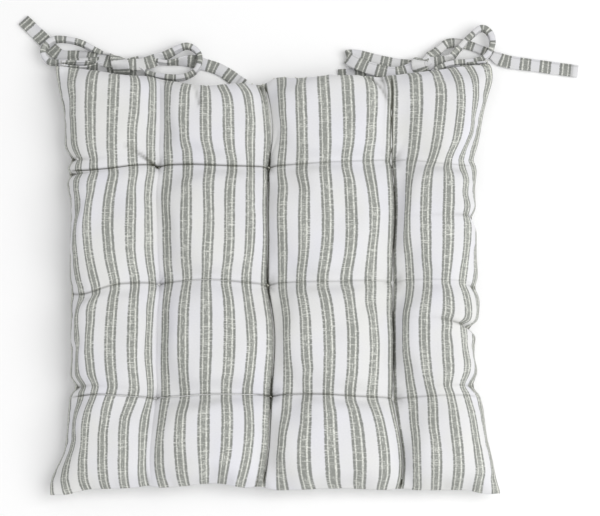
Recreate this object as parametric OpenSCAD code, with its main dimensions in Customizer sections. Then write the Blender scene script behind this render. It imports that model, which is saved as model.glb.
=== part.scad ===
// Tufted chair seat pad: striped cover sewn from two panels, fibre filling, nine
// tuft threads, and two sewn-on ties tied in a bow at each back corner.
// Origin: middle of the underside. +Y is the back edge with the ties, +Z is up.

/* [Cover] */
// Width over the corner ears
ear_width = 398; // [390:1:410]
// Width at the middle of the sides
waist_width = 368; // [350:1:376]
// Depth over the corner ears
ear_depth = 396; // [380:1:396]
// Depth at the middle of the front and back edges
waist_depth = 374; // [350:1:376]
// Greatest thickness of the filled pad
pad_thickness = 50; // [40:1:60]
// Height of the sewn edge above the surface that the pad lies on
seam_height = 20; // [18:1:24]
// Thickness of the cover fabric
fabric = 1; // [0.6:0.1:1.4]
// Width of the flat sewn lip round the edge
seam_lip = 3; // [2:0.5:6]

/* [Tufting] */
// Distance between tuft columns
tuft_pitch_x = 104; // [90:1:115]
// Distance between tuft rows
tuft_pitch_y = 106; // [90:1:115]
// Distance of the middle row in front of the pad's middle
tuft_forward = 7; // [0:1:12]
// Share of the pad's rise that a tuft pulls down
tuft_depth = 0.6; // [0.3:0.05:0.65]
// Share of the pad's rise that the crease between two tufts pulls down
crease_depth = 0.18; // [0:0.02:0.25]

/* [Ties and thread] */
// Width of a tie
tie_width = 12; // [8:0.5:12]
// Thickness of a tie, a folded and stitched strip
tie_thickness = 1.6; // [1:0.2:1.6]
// Diameter of the tufting and sewing thread
thread_size = 0.8; // [0.4:0.1:1]

/* [Hidden] */
$fn = 24;

white_cloth = [0.88, 0.88, 0.90];
striped_cloth = [0.74, 0.75, 0.73];
fibre_white = [0.96, 0.96, 0.95];
thread_colour = [0.85, 0.85, 0.80];

// Grid that the panels and the filling share: the outermost cells are the sewn lip.
cells = 28;
lip_share_x = 1 - 2 * seam_lip / ear_width;
lip_share_y = 1 - 2 * seam_lip / ear_depth;
edge_power = 8;
side_power = 4;
crease_reach = 12;
tuft_reach = 18;
filling_gap = 0.2;
filling_inset = 2;
rise = pad_thickness - seam_height - fabric;
drop = seam_height * 1.3;

tuft_columns = [-tuft_pitch_x, 0, tuft_pitch_x];
tuft_rows = [-tuft_pitch_y - tuft_forward, -tuft_forward, tuft_pitch_y - tuft_forward];

// Evenness of the grid: half linear, half a sine, so that cells are finer at the edges.
function spread(step) = 0.5 * step + 0.5 * sin(90 * step);
function grid_line(i, lip_share) =
    i == 0 ? -1 :
    i == cells ? 1 :
    lip_share * spread(2 * (i - 1) / (cells - 2) - 1);

// Plan position of a grid point: the sides pull in between the corner ears.
function half_width(v) = (waist_width + (ear_width - waist_width) * pow(abs(v), side_power)) / 2;
function half_depth(u) = (waist_depth + (ear_depth - waist_depth) * pow(abs(u), side_power)) / 2;
function plan(u, v) = [u * half_width(v), v * half_depth(u)];

// Share of the full rise at a plan position: crowned, creased between tufts, deep at each tuft.
function edge_rise(s, lip_share) = pow(max(0, 1 - pow(abs(s) / lip_share, edge_power)), 0.5);
function nearest(value, lines) = min([for (line = lines) abs(value - line)]);
function bump(distance, reach) = exp(-pow(distance / reach, 2));
function fullness(u, v) =
    let (place = plan(u, v))
    let (off_x = nearest(place[0], tuft_columns), off_y = nearest(place[1], tuft_rows))
    let (crease = crease_depth * max(bump(off_x, crease_reach), bump(off_y, crease_reach)))
    let (tuft = tuft_depth * bump(norm([off_x, off_y]), tuft_reach))
    edge_rise(u, lip_share_x) * edge_rise(v, lip_share_y) * (1 - crease - tuft);

// Heights of the cover's outer faces.
function top_height(u, v) = seam_height + fabric + rise * fullness(u, v);
function bottom_height(u, v) = max(0, seam_height - fabric - drop * fullness(u, v));

function on_grid(i, j, height) = concat(plan(grid_line(i, lip_share_x), grid_line(j, lip_share_y)), height);
function top_points(first, last, lowered) = [
    for (i = [first:last], j = [first:last])
        on_grid(i, j, top_height(grid_line(i, lip_share_x), grid_line(j, lip_share_y)) - lowered)
];
function bottom_points(first, last, raised) = [
    for (i = [first:last], j = [first:last])
        on_grid(i, j, bottom_height(grid_line(i, lip_share_x), grid_line(j, lip_share_y)) + raised)
];

// Closed slab between two grids of points, each with count cells a side.
module slab(upper, lower, count) {
    side = count + 1;
    under = side * side;
    top_faces = [
        for (i = [0:count - 1], j = [0:count - 1]) let (a = i * side + j)
            each [[a, a + 1, a + side + 1], [a, a + side + 1, a + side]]
    ];
    under_faces = [
        for (i = [0:count - 1], j = [0:count - 1]) let (a = under + i * side + j)
            each [[a, a + side, a + side + 1], [a, a + side + 1, a + 1]]
    ];
    // Edge points in order round the slab: front, right, back, left.
    ring = concat(
        [for (i = [0:count - 1]) i * side],
        [for (j = [0:count - 1]) count * side + j],
        [for (i = [count:-1:1]) i * side + count],
        [for (j = [count:-1:1]) j]
    );
    wall_faces = [
        for (k = [0:len(ring) - 1]) let (a = ring[k], b = ring[(k + 1) % len(ring)])
            each [[under + a, a, b], [under + a, b, under + b]]
    ];
    polyhedron(points = concat(upper, lower), faces = concat(top_faces, under_faces, wall_faces));
}

module top_panel() {
    color(striped_cloth)
        slab(top_points(0, cells, 0), top_points(0, cells, fabric), cells);
}

module bottom_panel() {
    color(striped_cloth)
        slab(bottom_points(0, cells, fabric), bottom_points(0, cells, 0), cells);
}

module fibre_filling() {
    last = cells - filling_inset;
    clear_of_cover = fabric + filling_gap;
    color(fibre_white)
        slab(
            top_points(filling_inset, last, clear_of_cover),
            bottom_points(filling_inset, last, clear_of_cover),
            last - filling_inset
        );
}

// Seam thread: a closed loop of thread in the middle of the sewn lip.
function seam_place(side, s) =
    let (inset_x = 1 - seam_lip / ear_width, inset_y = 1 - seam_lip / ear_depth)
    side == 0 ? plan(s * inset_x, -inset_y) :
    side == 1 ? plan(inset_x, s * inset_y) :
    side == 2 ? plan(-s * inset_x, inset_y) :
    plan(-inset_x, -s * inset_y);
seam_steps = 20;
seam_line = [for (side = [0:3], k = [0:seam_steps - 1]) seam_place(side, 2 * k / seam_steps - 1)];
seam_sides = 6;

module edge_seam_thread() {
    rings = len(seam_line);
    points = [
        for (k = [0:rings - 1])
            let (run = seam_line[(k + 1) % rings] - seam_line[(k + rings - 1) % rings])
            let (out = [run[1], -run[0]] / norm(run))
            for (m = [0:seam_sides - 1])
                concat(
                    seam_line[k] + out * cos(360 * m / seam_sides) * thread_size / 2,
                    seam_height + sin(360 * m / seam_sides) * thread_size / 2
                )
    ];
    faces = [
        for (k = [0:rings - 1], m = [0:seam_sides - 1])
            let (next_k = (k + 1) % rings, next_m = (m + 1) % seam_sides)
            let (a = k * seam_sides, b = next_k * seam_sides)
            each [[a + m, a + next_m, b + next_m], [a + m, b + next_m, b + m]]
    ];
    color(thread_colour) polyhedron(points = points, faces = faces);
}

// Ladder stitches that close the filling opening in the back edge.
closing_length = 120;
closing_count = 13;
closing_stitch = 3;

module closing_stitches() {
    color(thread_colour)
        for (k = [0:closing_count - 1]) {
            x = closing_length * (k / (closing_count - 1) - 0.5);
            y = half_depth(2 * x / waist_width) + thread_size / 2;
            translate([x, y, seam_height - closing_stitch / 2])
                cylinder(h = closing_stitch, d = thread_size);
        }
}

// Tuft thread: a short bar on the top, two legs through the pad, and a knot underneath.
tuft_bar = 4;
tuft_knot = 2.4;
tuft_share = 1 - crease_depth - tuft_depth;
tuft_top = seam_height + fabric + rise * tuft_share;
tuft_under = seam_height - fabric - drop * tuft_share;

module tuft_thread(number) {
    column = number % 3;
    row = floor(number / 3);
    color(thread_colour)
        translate([tuft_columns[column], tuft_rows[row], 0]) {
            translate([-tuft_bar / 2, 0, tuft_top + thread_size / 2])
                rotate([0, 90, 0])
                    cylinder(h = tuft_bar, d = thread_size);
            for (side = [-1, 1])
                translate([side * (tuft_bar - thread_size) / 2, 0, tuft_under - thread_size / 2])
                    cylinder(h = tuft_top - tuft_under + thread_size, d = thread_size);
            translate([-tuft_bar / 2, 0, tuft_under - thread_size / 2])
                rotate([0, 90, 0])
                    cylinder(h = tuft_bar, d = thread_size);
            translate([0, 0, tuft_under - thread_size - tuft_knot / 4])
                sphere(d = tuft_knot);
        }
}

// Tie routes. Each row is a point of the tie's middle line and the way its width leans:
// [x, y, z, lean x, lean y, lean z]. x and y start at the back corner ear, z at the floor.
left_inner_route = [
    [2, 2, 15, 0, 0, 1], [24, 2, 8, 0, 0, 1], [42, 4, 5.2, 0, 1, 1],
    [57, 5, 4, 0, 1, 0], [72, 0, 5.5, 0, 1, 1], [90, -5, 6.5, 0, 0, 1],
    [112, -7, 6.5, 0, 0, 1], [127, 0, 8, 0, 0, 1], [130, 14, 9.5, 0, 0, 1],
    [118, 23, 9, 0, 0, 1], [98, 14, 8, 0, 1, 2], [78, 6, 9, 0, 1, 0],
    [57, 6, 10, 0, 1, 0], [40, 10, 9, 0, 1, 0], [18, 15, 2.5, 0, 1, 0],
    [0, 17, 2, 0, 1, 0], [-16, 33, 2, 1, 1, 0], [-34, 51, 2, 1, 1, 0]
];
left_outer_route = [
    [2, 4.5, 15, 0, 0, 1], [24, 5, 7, 0, 1, 2], [40, 3, 2, 0, 1, 0],
    [54, 5, 1.4, 1, 1, 0], [58, -2, 4, 1, 0, 0], [57, 5, 13, 1, 0, 0],
    [52, 13, 9, 1, 0, -1], [38, 17, 8, 0, 0, -1], [18, 27, 9, 0, 0, -1],
    [-4, 29, 10, 0, 0, -1], [-14, 18, 10, 0, 0, -1], [-8, 8, 9, 0, 0, -1],
    [10, 8, 8, 0, 0, -1], [40, 9, 6.5, 0, -2, -1], [57, 6, 7, 0, -1, 0],
    [76, 11, 5.4, 0, -1, -1], [100, 8, 6.5, 0, 0, -1], [120, 10, 5.2, 0, -1, -1],
    [134, 8, 1.6, 0, -1, 0], [150, 2, 1.6, 0, -1, 0], [170, -12, 1.6, -1, -1, 0]
];
right_inner_route = [
    [-3, 2, 15, 0, 0, 1], [-22, 1, 8, 0, 1, 3], [-42, 2, 5, 0, 2, 1],
    [-62, 5, 4, 0, 1, 0], [-84, 7, 3, 0, 1, 0], [-104, 11, 2.5, 0, 1, 0],
    [-122, 16, 2.5, 0, 1, 0], [-132, 14, 6, 0, 1, 0], [-124, 7, 9.5, 0, 1, 0],
    [-106, 0, 10, 0, 1, 0], [-86, -3, 10, 0, 1, 0], [-62, 6, 9.5, 0, 1, 0],
    [-50, 18, 6, -1, 1, 0], [-38, 28, 3, 0, 1, 0], [-22, 27, 2, 0, 1, 0],
    [-4, 20, 2, 0, 1, 0], [14, 11, 2, 0, 1, 0], [46, 6, 2, 0, 1, 0],
    [81, 1, 2, 0, 1, 0]
];
right_outer_route = [
    [-3, 4.5, 15, 0, 0, 1], [-22, 4, 7, 0, 1, 3], [-42, 4, 2, 0, 1, 0],
    [-58, 5, 1.4, 1, 1, 0], [-62, 12, 5, 1, 0, 0], [-66, 5, 13, 1, 0, 0],
    [-62, -3.5, 8, 1, 0, 0], [-54, -2, 7, 0, 0, 1], [-44, 3, 9.5, 0, 0, 1],
    [-34, 6, 9.5, 0, 0, 1], [-16, 8, 8.5, 0, 0, 1], [-4, 13, 8.5, 0, 0, 1],
    [2, 24, 9.5, 0, 0, 1], [0, 35, 9.5, 0, 0, 1], [-8, 40, 9.5, 0, 0, 1],
    [-19, 31, 10, 0, 0, 1], [-30, 19, 9.5, 0, 0, 1], [-41, 9, 7.5, 0, 1, 1],
    [-62, 6, 6.8, 0, 1, 0], [-84, 2, 2, 0, 1, 0], [-110, -1, 1.6, 0, 1, 0],
    [-140, -3, 1.6, 0, 1, 0]
];

function unit(vector) = vector / norm(vector);
function spot(row) = [row[0], row[1], row[2]];
function lean(row) = [row[3], row[4], row[5]];
function run_at(route, k) =
    unit(spot(route[min(k + 1, len(route) - 1)]) - spot(route[max(k - 1, 0)]));
function across(route, k) =
    let (run = run_at(route, k), side = lean(route[k]))
    unit(side - (side * run) * run);

// Flat section of a tie with softened edges.
tie_section = [
    for (side = [1, -1])
        each [
            [side * tie_width / 2, -side * tie_thickness / 5],
            [side * tie_width / 2, side * tie_thickness / 5],
            [side * tie_width * 0.43, side * tie_thickness / 2],
            [-side * tie_width * 0.43, side * tie_thickness / 2]
        ]
];

module tie(route, corner_side) {
    sides = len(tie_section);
    last = len(route) - 1;
    corner = [corner_side * ear_width / 2, ear_depth / 2, 0];
    points = [
        for (k = [0:last])
            let (wide = across(route, k), thick = cross(run_at(route, k), wide))
            for (place = tie_section)
                corner + spot(route[k]) + place[0] * wide + place[1] * thick
    ];
    faces = concat(
        [[for (m = [0:sides - 1]) m]],
        [[for (m = [sides - 1:-1:0]) last * sides + m]],
        [
            for (k = [0:last - 1], m = [0:sides - 1])
                let (next_m = (m + 1) % sides, a = k * sides, b = a + sides)
                each [[a + m, b + m, b + next_m], [a + m, b + next_m, a + next_m]]
        ]
    );
    color(striped_cloth) polyhedron(points = points, faces = faces);
}

module left_inner_tie() tie(left_inner_route, -1);
module left_outer_tie() tie(left_outer_route, -1);
module right_inner_tie() tie(right_inner_route, 1);
module right_outer_tie() tie(right_outer_route, 1);

// Bar tack: the dense stitch that holds both ties of a corner together at their root.
bartack_size = [1.2, 5, 8];
bartack_offset = [5, 1, 11];

module tie_bartack(corner_side) {
    color(thread_colour)
        translate([
            corner_side * (ear_width / 2 - bartack_offset[0]) - bartack_size[0] / 2,
            ear_depth / 2 + bartack_offset[1],
            bartack_offset[2]
        ])
            cube(bartack_size);
}

top_panel();
bottom_panel();
fibre_filling();
edge_seam_thread();
closing_stitches();
tuft_thread(0);  // tuft_thread_1
tuft_thread(1);  // tuft_thread_2
tuft_thread(2);  // tuft_thread_3
tuft_thread(3);  // tuft_thread_4
tuft_thread(4);  // tuft_thread_5
tuft_thread(5);  // tuft_thread_6
tuft_thread(6);  // tuft_thread_7
tuft_thread(7);  // tuft_thread_8
tuft_thread(8);  // tuft_thread_9
left_inner_tie();
left_outer_tie();
tie_bartack(-1);  // left_tie_bartack
right_inner_tie();
right_outer_tie();
tie_bartack(1);  // right_tie_bartack
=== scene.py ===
import sys

import logging
import math
from collections.abc import Iterable, Sequence
from dataclasses import dataclass
from enum import Enum

import bpy
import numpy as np
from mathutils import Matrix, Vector


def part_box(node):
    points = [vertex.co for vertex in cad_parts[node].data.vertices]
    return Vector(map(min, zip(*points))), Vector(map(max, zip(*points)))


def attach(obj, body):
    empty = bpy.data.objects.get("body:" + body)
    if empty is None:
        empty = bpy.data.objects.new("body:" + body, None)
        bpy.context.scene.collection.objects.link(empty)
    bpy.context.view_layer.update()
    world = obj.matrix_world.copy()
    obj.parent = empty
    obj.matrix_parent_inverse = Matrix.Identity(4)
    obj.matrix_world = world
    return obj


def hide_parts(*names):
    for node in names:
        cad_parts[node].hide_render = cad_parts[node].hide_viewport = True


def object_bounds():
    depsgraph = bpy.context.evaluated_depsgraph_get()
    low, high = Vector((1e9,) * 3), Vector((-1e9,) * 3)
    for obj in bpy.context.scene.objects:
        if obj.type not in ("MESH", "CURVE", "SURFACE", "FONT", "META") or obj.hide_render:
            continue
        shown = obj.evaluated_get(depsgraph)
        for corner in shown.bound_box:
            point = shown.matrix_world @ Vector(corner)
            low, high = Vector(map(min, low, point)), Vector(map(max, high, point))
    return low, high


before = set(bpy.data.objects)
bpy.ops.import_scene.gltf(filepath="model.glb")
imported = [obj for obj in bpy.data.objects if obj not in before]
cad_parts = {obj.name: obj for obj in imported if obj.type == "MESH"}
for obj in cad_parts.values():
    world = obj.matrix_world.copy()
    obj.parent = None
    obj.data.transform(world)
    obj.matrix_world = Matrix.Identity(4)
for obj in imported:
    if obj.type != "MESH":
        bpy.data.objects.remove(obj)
CAD_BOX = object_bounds()

log = logging.getLogger("seat_pad")

MM = 0.001
Point = tuple[float, ...]
Pair = tuple[float, float]
Colour = tuple[float, float, float]
Array = np.ndarray
Mesh = tuple[np.ndarray, Sequence]
Piece = bpy.types.Object
Socket = bpy.types.NodeSocket
Masks = dict[str, bpy.types.NodeSocket]


# ---------------------------------------------------------------- mesh helpers


def linear(red: int, green: int, blue: int) -> Colour:
    """Turn a colour given in the usual 0 to 255 steps into the renderer's linear values."""
    return tuple(((c / 255 + 0.055) / 1.055) ** 2.4 if c > 10 else c / 3294 for c in (red, green, blue))


def new_piece(
    name: str, points: Array, faces: Iterable, flat: Array | None = None, fold: Array | None = None
) -> Piece:
    """Make a smooth mesh object and put it in the scene.

    Args:
        name: the piece's name.
        points: vertex places, one row each.
        faces: vertex numbers of each face, counter-clockwise seen from outside.
        flat: place of each vertex on the cloth before it was sewn, for the cloth's pattern.
        fold: strength of the painted shade at each vertex, from 0 to 1, that darkens its colour in folds and
            dents.

    Returns:
        The new object.
    """
    mesh = bpy.data.meshes.new(name)
    mesh.from_pydata(points.tolist(), [], [list(map(int, face)) for face in faces])
    mesh.update()
    mesh.polygons.foreach_set("use_smooth", np.ones(len(mesh.polygons), dtype=bool))
    layers = (("flat", "FLOAT_VECTOR", "vector", flat), ("fold", "FLOAT", "value", fold))
    for label, kind, key, values in layers:
        if values is not None:
            layer = mesh.attributes.new(label, kind, "POINT")
            layer.data.foreach_set(key, np.ascontiguousarray(values, dtype=np.float32).ravel())
    piece = bpy.data.objects.new(name, mesh)
    bpy.context.scene.collection.objects.link(piece)
    return piece


def fitted(piece: Piece, material: bpy.types.Material, body: str, node: str) -> Piece:
    """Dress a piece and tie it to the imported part.

    Args:
        piece: the piece.
        material: its finish.
        body: the moving body that it rides on.
        node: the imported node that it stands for.

    Returns:
        The same piece.
    """
    piece.data.materials.append(material)
    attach(piece, body)
    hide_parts(node)
    return piece


def unit(vectors: Array) -> Array:
    """Scale each row to length 1."""
    return vectors / np.maximum(np.linalg.norm(vectors, axis=-1, keepdims=True), 1e-12)


def bell(distance: Array | float, reach: float) -> Array:
    """Return a smooth hump: 1 at no distance, fading out past the reach."""
    return np.exp(-((distance / reach) ** 2))


def blurred(values: Array, axis: int, reach: float) -> Array:
    """Blur a grid of values along one axis, keeping its ends.

    Args:
        values: the grid.
        axis: the axis to blur along.
        reach: the blur's reach in grid cells.

    Returns:
        The blurred grid.
    """
    span = math.ceil(3 * reach)
    weights = np.exp(-0.5 * (np.arange(-span, span + 1) / reach) ** 2)
    pads = [(0, 0)] * values.ndim
    pads[axis] = (span, span)
    padded = np.pad(values, pads, mode="reflect", reflect_type="odd")
    count = values.shape[axis]
    shifted = (padded.take(range(k, k + count), axis=axis) for k in range(2 * span + 1))
    return sum(weight * part for weight, part in zip(weights / weights.sum(), shifted))


def walked_along(path: Array) -> Array:
    """Return each point's distance from the start, measured along the path."""
    return np.concatenate([[0], np.cumsum(np.linalg.norm(np.diff(path, axis=0), axis=1))])


def read_at(stops: Array, walked: Array, rows: Array) -> Array:
    """Read rows that lie at walked distances at the stops instead."""
    return np.stack([np.interp(stops, walked, column) for column in rows.T], axis=1)


def smooth_path(points: Array, gap: float, fineness: int = 24) -> Array:
    """Run a smooth curve through the points and place rings along it at even gaps.

    Args:
        points: rows whose first three values are a place; further values are carried along.
        gap: distance between two rings.
        fineness: steps of the curve from one point to the next.

    Returns:
        The rings' rows.
    """
    ends = np.vstack([2 * points[0] - points[1], points, 2 * points[-1] - points[-2]])
    share = np.linspace(0, 1, fineness, endpoint=False)[:, None]
    runs = []
    for before, start, end, after in zip(ends, ends[1:], ends[2:], ends[3:]):
        runs.append(0.5 * (
            2 * start
            + (end - before) * share
            + (2 * before - 5 * start + 4 * end - after) * share**2
            + (3 * start - before - 3 * end + after) * share**3
        ))
    fine = np.vstack([*runs, points[-1:]])
    walked = walked_along(fine[:, :3])
    return read_at(np.linspace(0, walked[-1], max(2, round(walked[-1] / gap)) + 1), walked, fine)


def ring_faces(count: int, sides: int, closed: bool = False) -> list[tuple[int, ...]]:
    """Return the faces of a sweep, with a cap on each end unless it is a loop.

    Args:
        count: number of rings.
        sides: points in a ring.
        closed: whether the last ring joins the first.

    Returns:
        The faces.
    """
    faces = []
    for k in range(count if closed else count - 1):
        here, there = k * sides, (k + 1) % count * sides
        for m, n in zip(range(sides), (*range(1, sides), 0)):
            faces.append((here + m, here + n, there + n, there + m))
    if not closed:
        faces.append(tuple(range(sides))[::-1])
        faces.append(tuple((count - 1) * sides + m for m in range(sides)))
    return faces


def tube(path: Array, radius: float, sides: int = 6, closed: bool = False) -> Mesh:
    """Sweep a round section along a path.

    Args:
        path: the centreline's points.
        radius: the section's radius.
        sides: points round the section.
        closed: whether the last point joins the first.

    Returns:
        Vertex places and faces.
    """
    before = np.roll(path, 1, axis=0)
    after = np.roll(path, -1, axis=0)
    if not closed:
        before[0], after[-1] = path[0], path[-1]
    run = unit(after - before)
    side = np.cross(run[0], (0.31, 0.17, 0.93))
    sides_at = []
    for tangent in run:
        side = side - tangent * side.dot(tangent)
        side = side / np.linalg.norm(side)
        sides_at.append(side)
    across = np.array(sides_at)
    up = np.cross(run, across)
    turn = 2 * np.pi * np.arange(sides) / sides
    ring = across[:, None] * np.cos(turn)[None, :, None] + up[:, None] * np.sin(turn)[None, :, None]
    points = (path[:, None] + radius * ring).reshape(-1, 3)
    return points, ring_faces(len(path), sides, closed)


def joined(parts: Iterable[Mesh]) -> Mesh:
    """Put several meshes into one.

    Args:
        parts: the points and faces of each.

    Returns:
        Vertex places and faces.
    """
    points, faces, count = [], [], 0
    for part_points, part_faces in parts:
        points.append(part_points)
        faces += [tuple(count + index for index in face) for face in part_faces]
        count += len(part_points)
    return np.vstack(points), faces


def twisted_loop(path: Array, radius: float, pitch: float, strands: int = 3) -> Mesh:
    """Lay thin strands round a closed path, as in a spun thread.

    Args:
        path: the thread's centreline.
        radius: the whole thread's radius.
        pitch: length of one full turn of a strand.
        strands: how many strands.

    Returns:
        Vertex places and faces.
    """
    step = np.roll(path, -1, axis=0) - path
    walked = np.concatenate([[0], np.cumsum(np.linalg.norm(step, axis=1))])[:-1]
    whole = walked[-1] + np.linalg.norm(step[-1])
    turns = max(1, round(whole / pitch)) / whole
    run = unit(step)
    across = unit(np.cross(run, (0.11, 0.23, 0.97)))
    up = np.cross(run, across)
    parts = []
    for k in range(strands):
        angle = (2 * np.pi * (turns * walked + k / strands))[:, None]
        centre = path + 0.5 * radius * (across * np.cos(angle) + up * np.sin(angle))
        parts.append(tube(centre, 0.55 * radius, closed=True))
    return joined(parts)


def quads_of(grid: Array) -> Array:
    """Return the faces over a square grid of vertex numbers."""
    return np.stack([grid[:-1, :-1], grid[1:, :-1], grid[1:, 1:], grid[:-1, 1:]], axis=-1).reshape(-1, 4)


def rim_of(grid: Array) -> Array:
    """Return a square grid's outermost values in order, counter-clockwise from above."""
    return np.concatenate([grid[:-1, 0], grid[-1, :-1], grid[:0:-1, -1], grid[0, :0:-1]])


def shell(upper: Array, lower: Array) -> Mesh:
    """Close two square grids of places into one solid.

    Args:
        upper: the grid whose faces look up.
        lower: the grid whose faces look down.

    Returns:
        Vertex places and faces.
    """
    count = len(upper)
    number = np.arange(count * count).reshape(count, count)
    quads, ring = quads_of(number), rim_of(number)
    after = np.roll(ring, -1)
    walls = np.stack([ring + count**2, after + count**2, after, ring], axis=-1)
    faces = np.concatenate([quads, quads[:, ::-1] + count**2, walls])
    return np.vstack([upper.reshape(-1, 3), lower.reshape(-1, 3)]), faces


def flat_sheet(name: str, size: float, height: float) -> Piece:
    """Make a square that lies flat round the origin at a height."""
    corners = [(x * size / 2, y * size / 2, height) for x, y in ((-1, -1), (1, -1), (1, 1), (-1, 1))]
    return new_piece(name, np.array(corners), [(0, 1, 2, 3)])


# ---------------------------------------------------------------- node helpers


class Wiring:
    """Short ways to add and join the nodes of one node tree."""

    def __init__(self, tree: bpy.types.NodeTree) -> None:
        """Keep the tree that the nodes go in."""
        self.tree = tree

    def placed(self, kind: str, values: dict | None = None, **settings: object) -> bpy.types.Node:
        """Add a node.

        Args:
            kind: the node's kind.
            values: what each of its inputs is fed with.
            settings: the node's own settings.

        Returns:
            The node.
        """
        node = self.tree.nodes.new(kind)
        for key, value in settings.items():
            setattr(node, key, value)
        for label, value in (values or {}).items():
            self.feed(node.inputs[label], value)
        return node

    def feed(self, socket: Socket, value: object) -> None:
        """Join an output to a socket, or set the socket's own value.

        Args:
            socket: the input socket.
            value: an output, or a plain value.
        """
        if isinstance(value, Socket):
            self.tree.links.new(value, socket)
        else:
            socket.default_value = value

    def math(self, operation: str, *values: object) -> Socket:
        """Add a Math node over the values and return its result."""
        return self.placed("ShaderNodeMath", dict(enumerate(values)), operation=operation).outputs[0]

    def parts(self, vector: Socket) -> Socket:
        """Split a vector and return its x, y and z outputs."""
        return self.placed("ShaderNodeSeparateXYZ", {0: vector}).outputs

    def stretched(self, vector: Socket, scale: Point) -> Socket:
        """Multiply a vector by a scale along each axis."""
        return self.placed("ShaderNodeVectorMath", {0: vector, 1: scale}, operation="MULTIPLY").outputs[0]

    def noise(self, vector: Socket, scale: Point, detail: float = 2.0) -> Socket:
        """Add noise with its own scale along each axis and return its value, from 0 to 1."""
        values = {"Vector": self.stretched(vector, scale), "Scale": 1.0, "Detail": detail}
        return self.placed("ShaderNodeTexNoise", values).outputs["Fac"]

    def ramp(self, value: Socket, low: float, high: float) -> Socket:
        """Map low to 0 and high to 1, and hold the ends."""
        values = {"Value": value, "From Min": low, "From Max": high}
        return self.placed("ShaderNodeMapRange", values).outputs["Result"]

    def mixed(self, share: object, first: object, second: object) -> Socket:
        """Mix two colours by a share."""
        first, second = (c if isinstance(c, Socket) else (*c, 1.0) for c in (first, second))
        return self.placed("ShaderNodeMix", {0: share, 6: first, 7: second}, data_type="RGBA").outputs[2]

    def tinted(self, colour: object, value: Socket) -> Socket:
        """Multiply a colour by a plain value."""
        return self.placed("ShaderNodeVectorMath", {0: colour, "Scale": value}, operation="SCALE").outputs[0]

    def bump(self, height: Socket, depth: float) -> Socket:
        """Turn a height from 0 to 1 into a normal, for a relief of that depth."""
        return self.placed("ShaderNodeBump", {"Distance": depth, "Height": height}).outputs[0]


class EffectGroup:
    """A shader node group that more than one material uses."""

    name: str = ""
    inputs: dict[str, str] = {}
    outputs: dict[str, str] = {}

    def tree(self) -> bpy.types.NodeTree:
        """Build the group's node tree, unless it is there.

        Returns:
            The tree.
        """
        if self.name in bpy.data.node_groups:
            return bpy.data.node_groups[self.name]
        tree = bpy.data.node_groups.new(self.name, "ShaderNodeTree")
        for way, sockets in (("INPUT", self.inputs), ("OUTPUT", self.outputs)):
            for label, kind in sockets.items():
                tree.interface.new_socket(name=label, in_out=way, socket_type=kind)
        wires = Wiring(tree)
        taken = wires.placed("NodeGroupInput").outputs
        given = wires.placed("NodeGroupOutput").inputs
        for label, value in self.build(wires, taken).items():
            wires.feed(given[label], value)
        return tree

    def build(self, wires: Wiring, taken: Socket) -> Masks:
        """Build the effect from the group's inputs and return the value of each output."""
        raise NotImplementedError

    def place(self, wires: Wiring, **values: object) -> Socket:
        """Put the group in a material with its own values and return its outputs."""
        return wires.placed("ShaderNodeGroup", values, node_tree=self.tree()).outputs


class WovenStripe(EffectGroup):
    """Stripes of two thin lines with a wider band between them, ragged as woven yarn is."""

    name = "woven_stripe"
    inputs = {"Flat": "NodeSocketVector", "Pitch": "NodeSocketFloat", "Phase": "NodeSocketFloat"}
    outputs = {"Line": "NodeSocketFloat", "Band": "NodeSocketFloat", "Field": "NodeSocketFloat"}

    ragged = 0.8 * MM
    jitter_scale = (420, 1300, 1)
    wander_scale = (40, 60, 1)
    soft = 0.5 * MM
    left_line = (-4.2 * MM, 1.05 * MM)
    right_line = (4.15 * MM, 1.1 * MM)
    band = (-0.3 * MM, 1.95 * MM)
    field = (0.0, 4.6 * MM)

    def build(self, wires: Wiring, taken: Socket) -> Masks:
        """Build the masks from the distance to the nearest stripe's middle.

        Args:
            wires: the group's tree.
            taken: the cloth's flat place, the stripes' pitch and where they start.

        Returns:
            Masks of the thin lines, the band and the whole stripe.
        """
        x = wires.parts(taken["Flat"])[0]
        turn = wires.math("FRACT", wires.math("ADD", wires.math("DIVIDE", x, taken["Pitch"]), taken["Phase"]))
        place = wires.math("MULTIPLY", wires.math("SUBTRACT", turn, 0.5), taken["Pitch"])
        jitter = wires.math("SUBTRACT", wires.noise(taken["Flat"], self.jitter_scale, 1.0), 0.5)
        wander = wires.math("SUBTRACT", wires.noise(taken["Flat"], self.wander_scale, 1.0), 0.5)
        jitter = wires.math("MULTIPLY", jitter, 2 * self.ragged)
        shift = wires.math("ADD", jitter, wires.math("MULTIPLY", wander, self.ragged))
        place = wires.math("ADD", place, shift)
        lines = (self.left_line, self.right_line, self.band, self.field)
        left, right, band, whole = (self.mask(wires, place, *line) for line in lines)
        return {"Line": wires.math("MAXIMUM", left, right), "Band": band, "Field": whole}

    def mask(self, wires: Wiring, place: Socket, middle: float, half: float) -> Socket:
        """Return 1 inside a line given by its middle and half width, with soft sides."""
        off = wires.math("ABSOLUTE", wires.math("SUBTRACT", place, middle))
        return wires.ramp(off, half + self.soft / 2, half - self.soft / 2)


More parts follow.
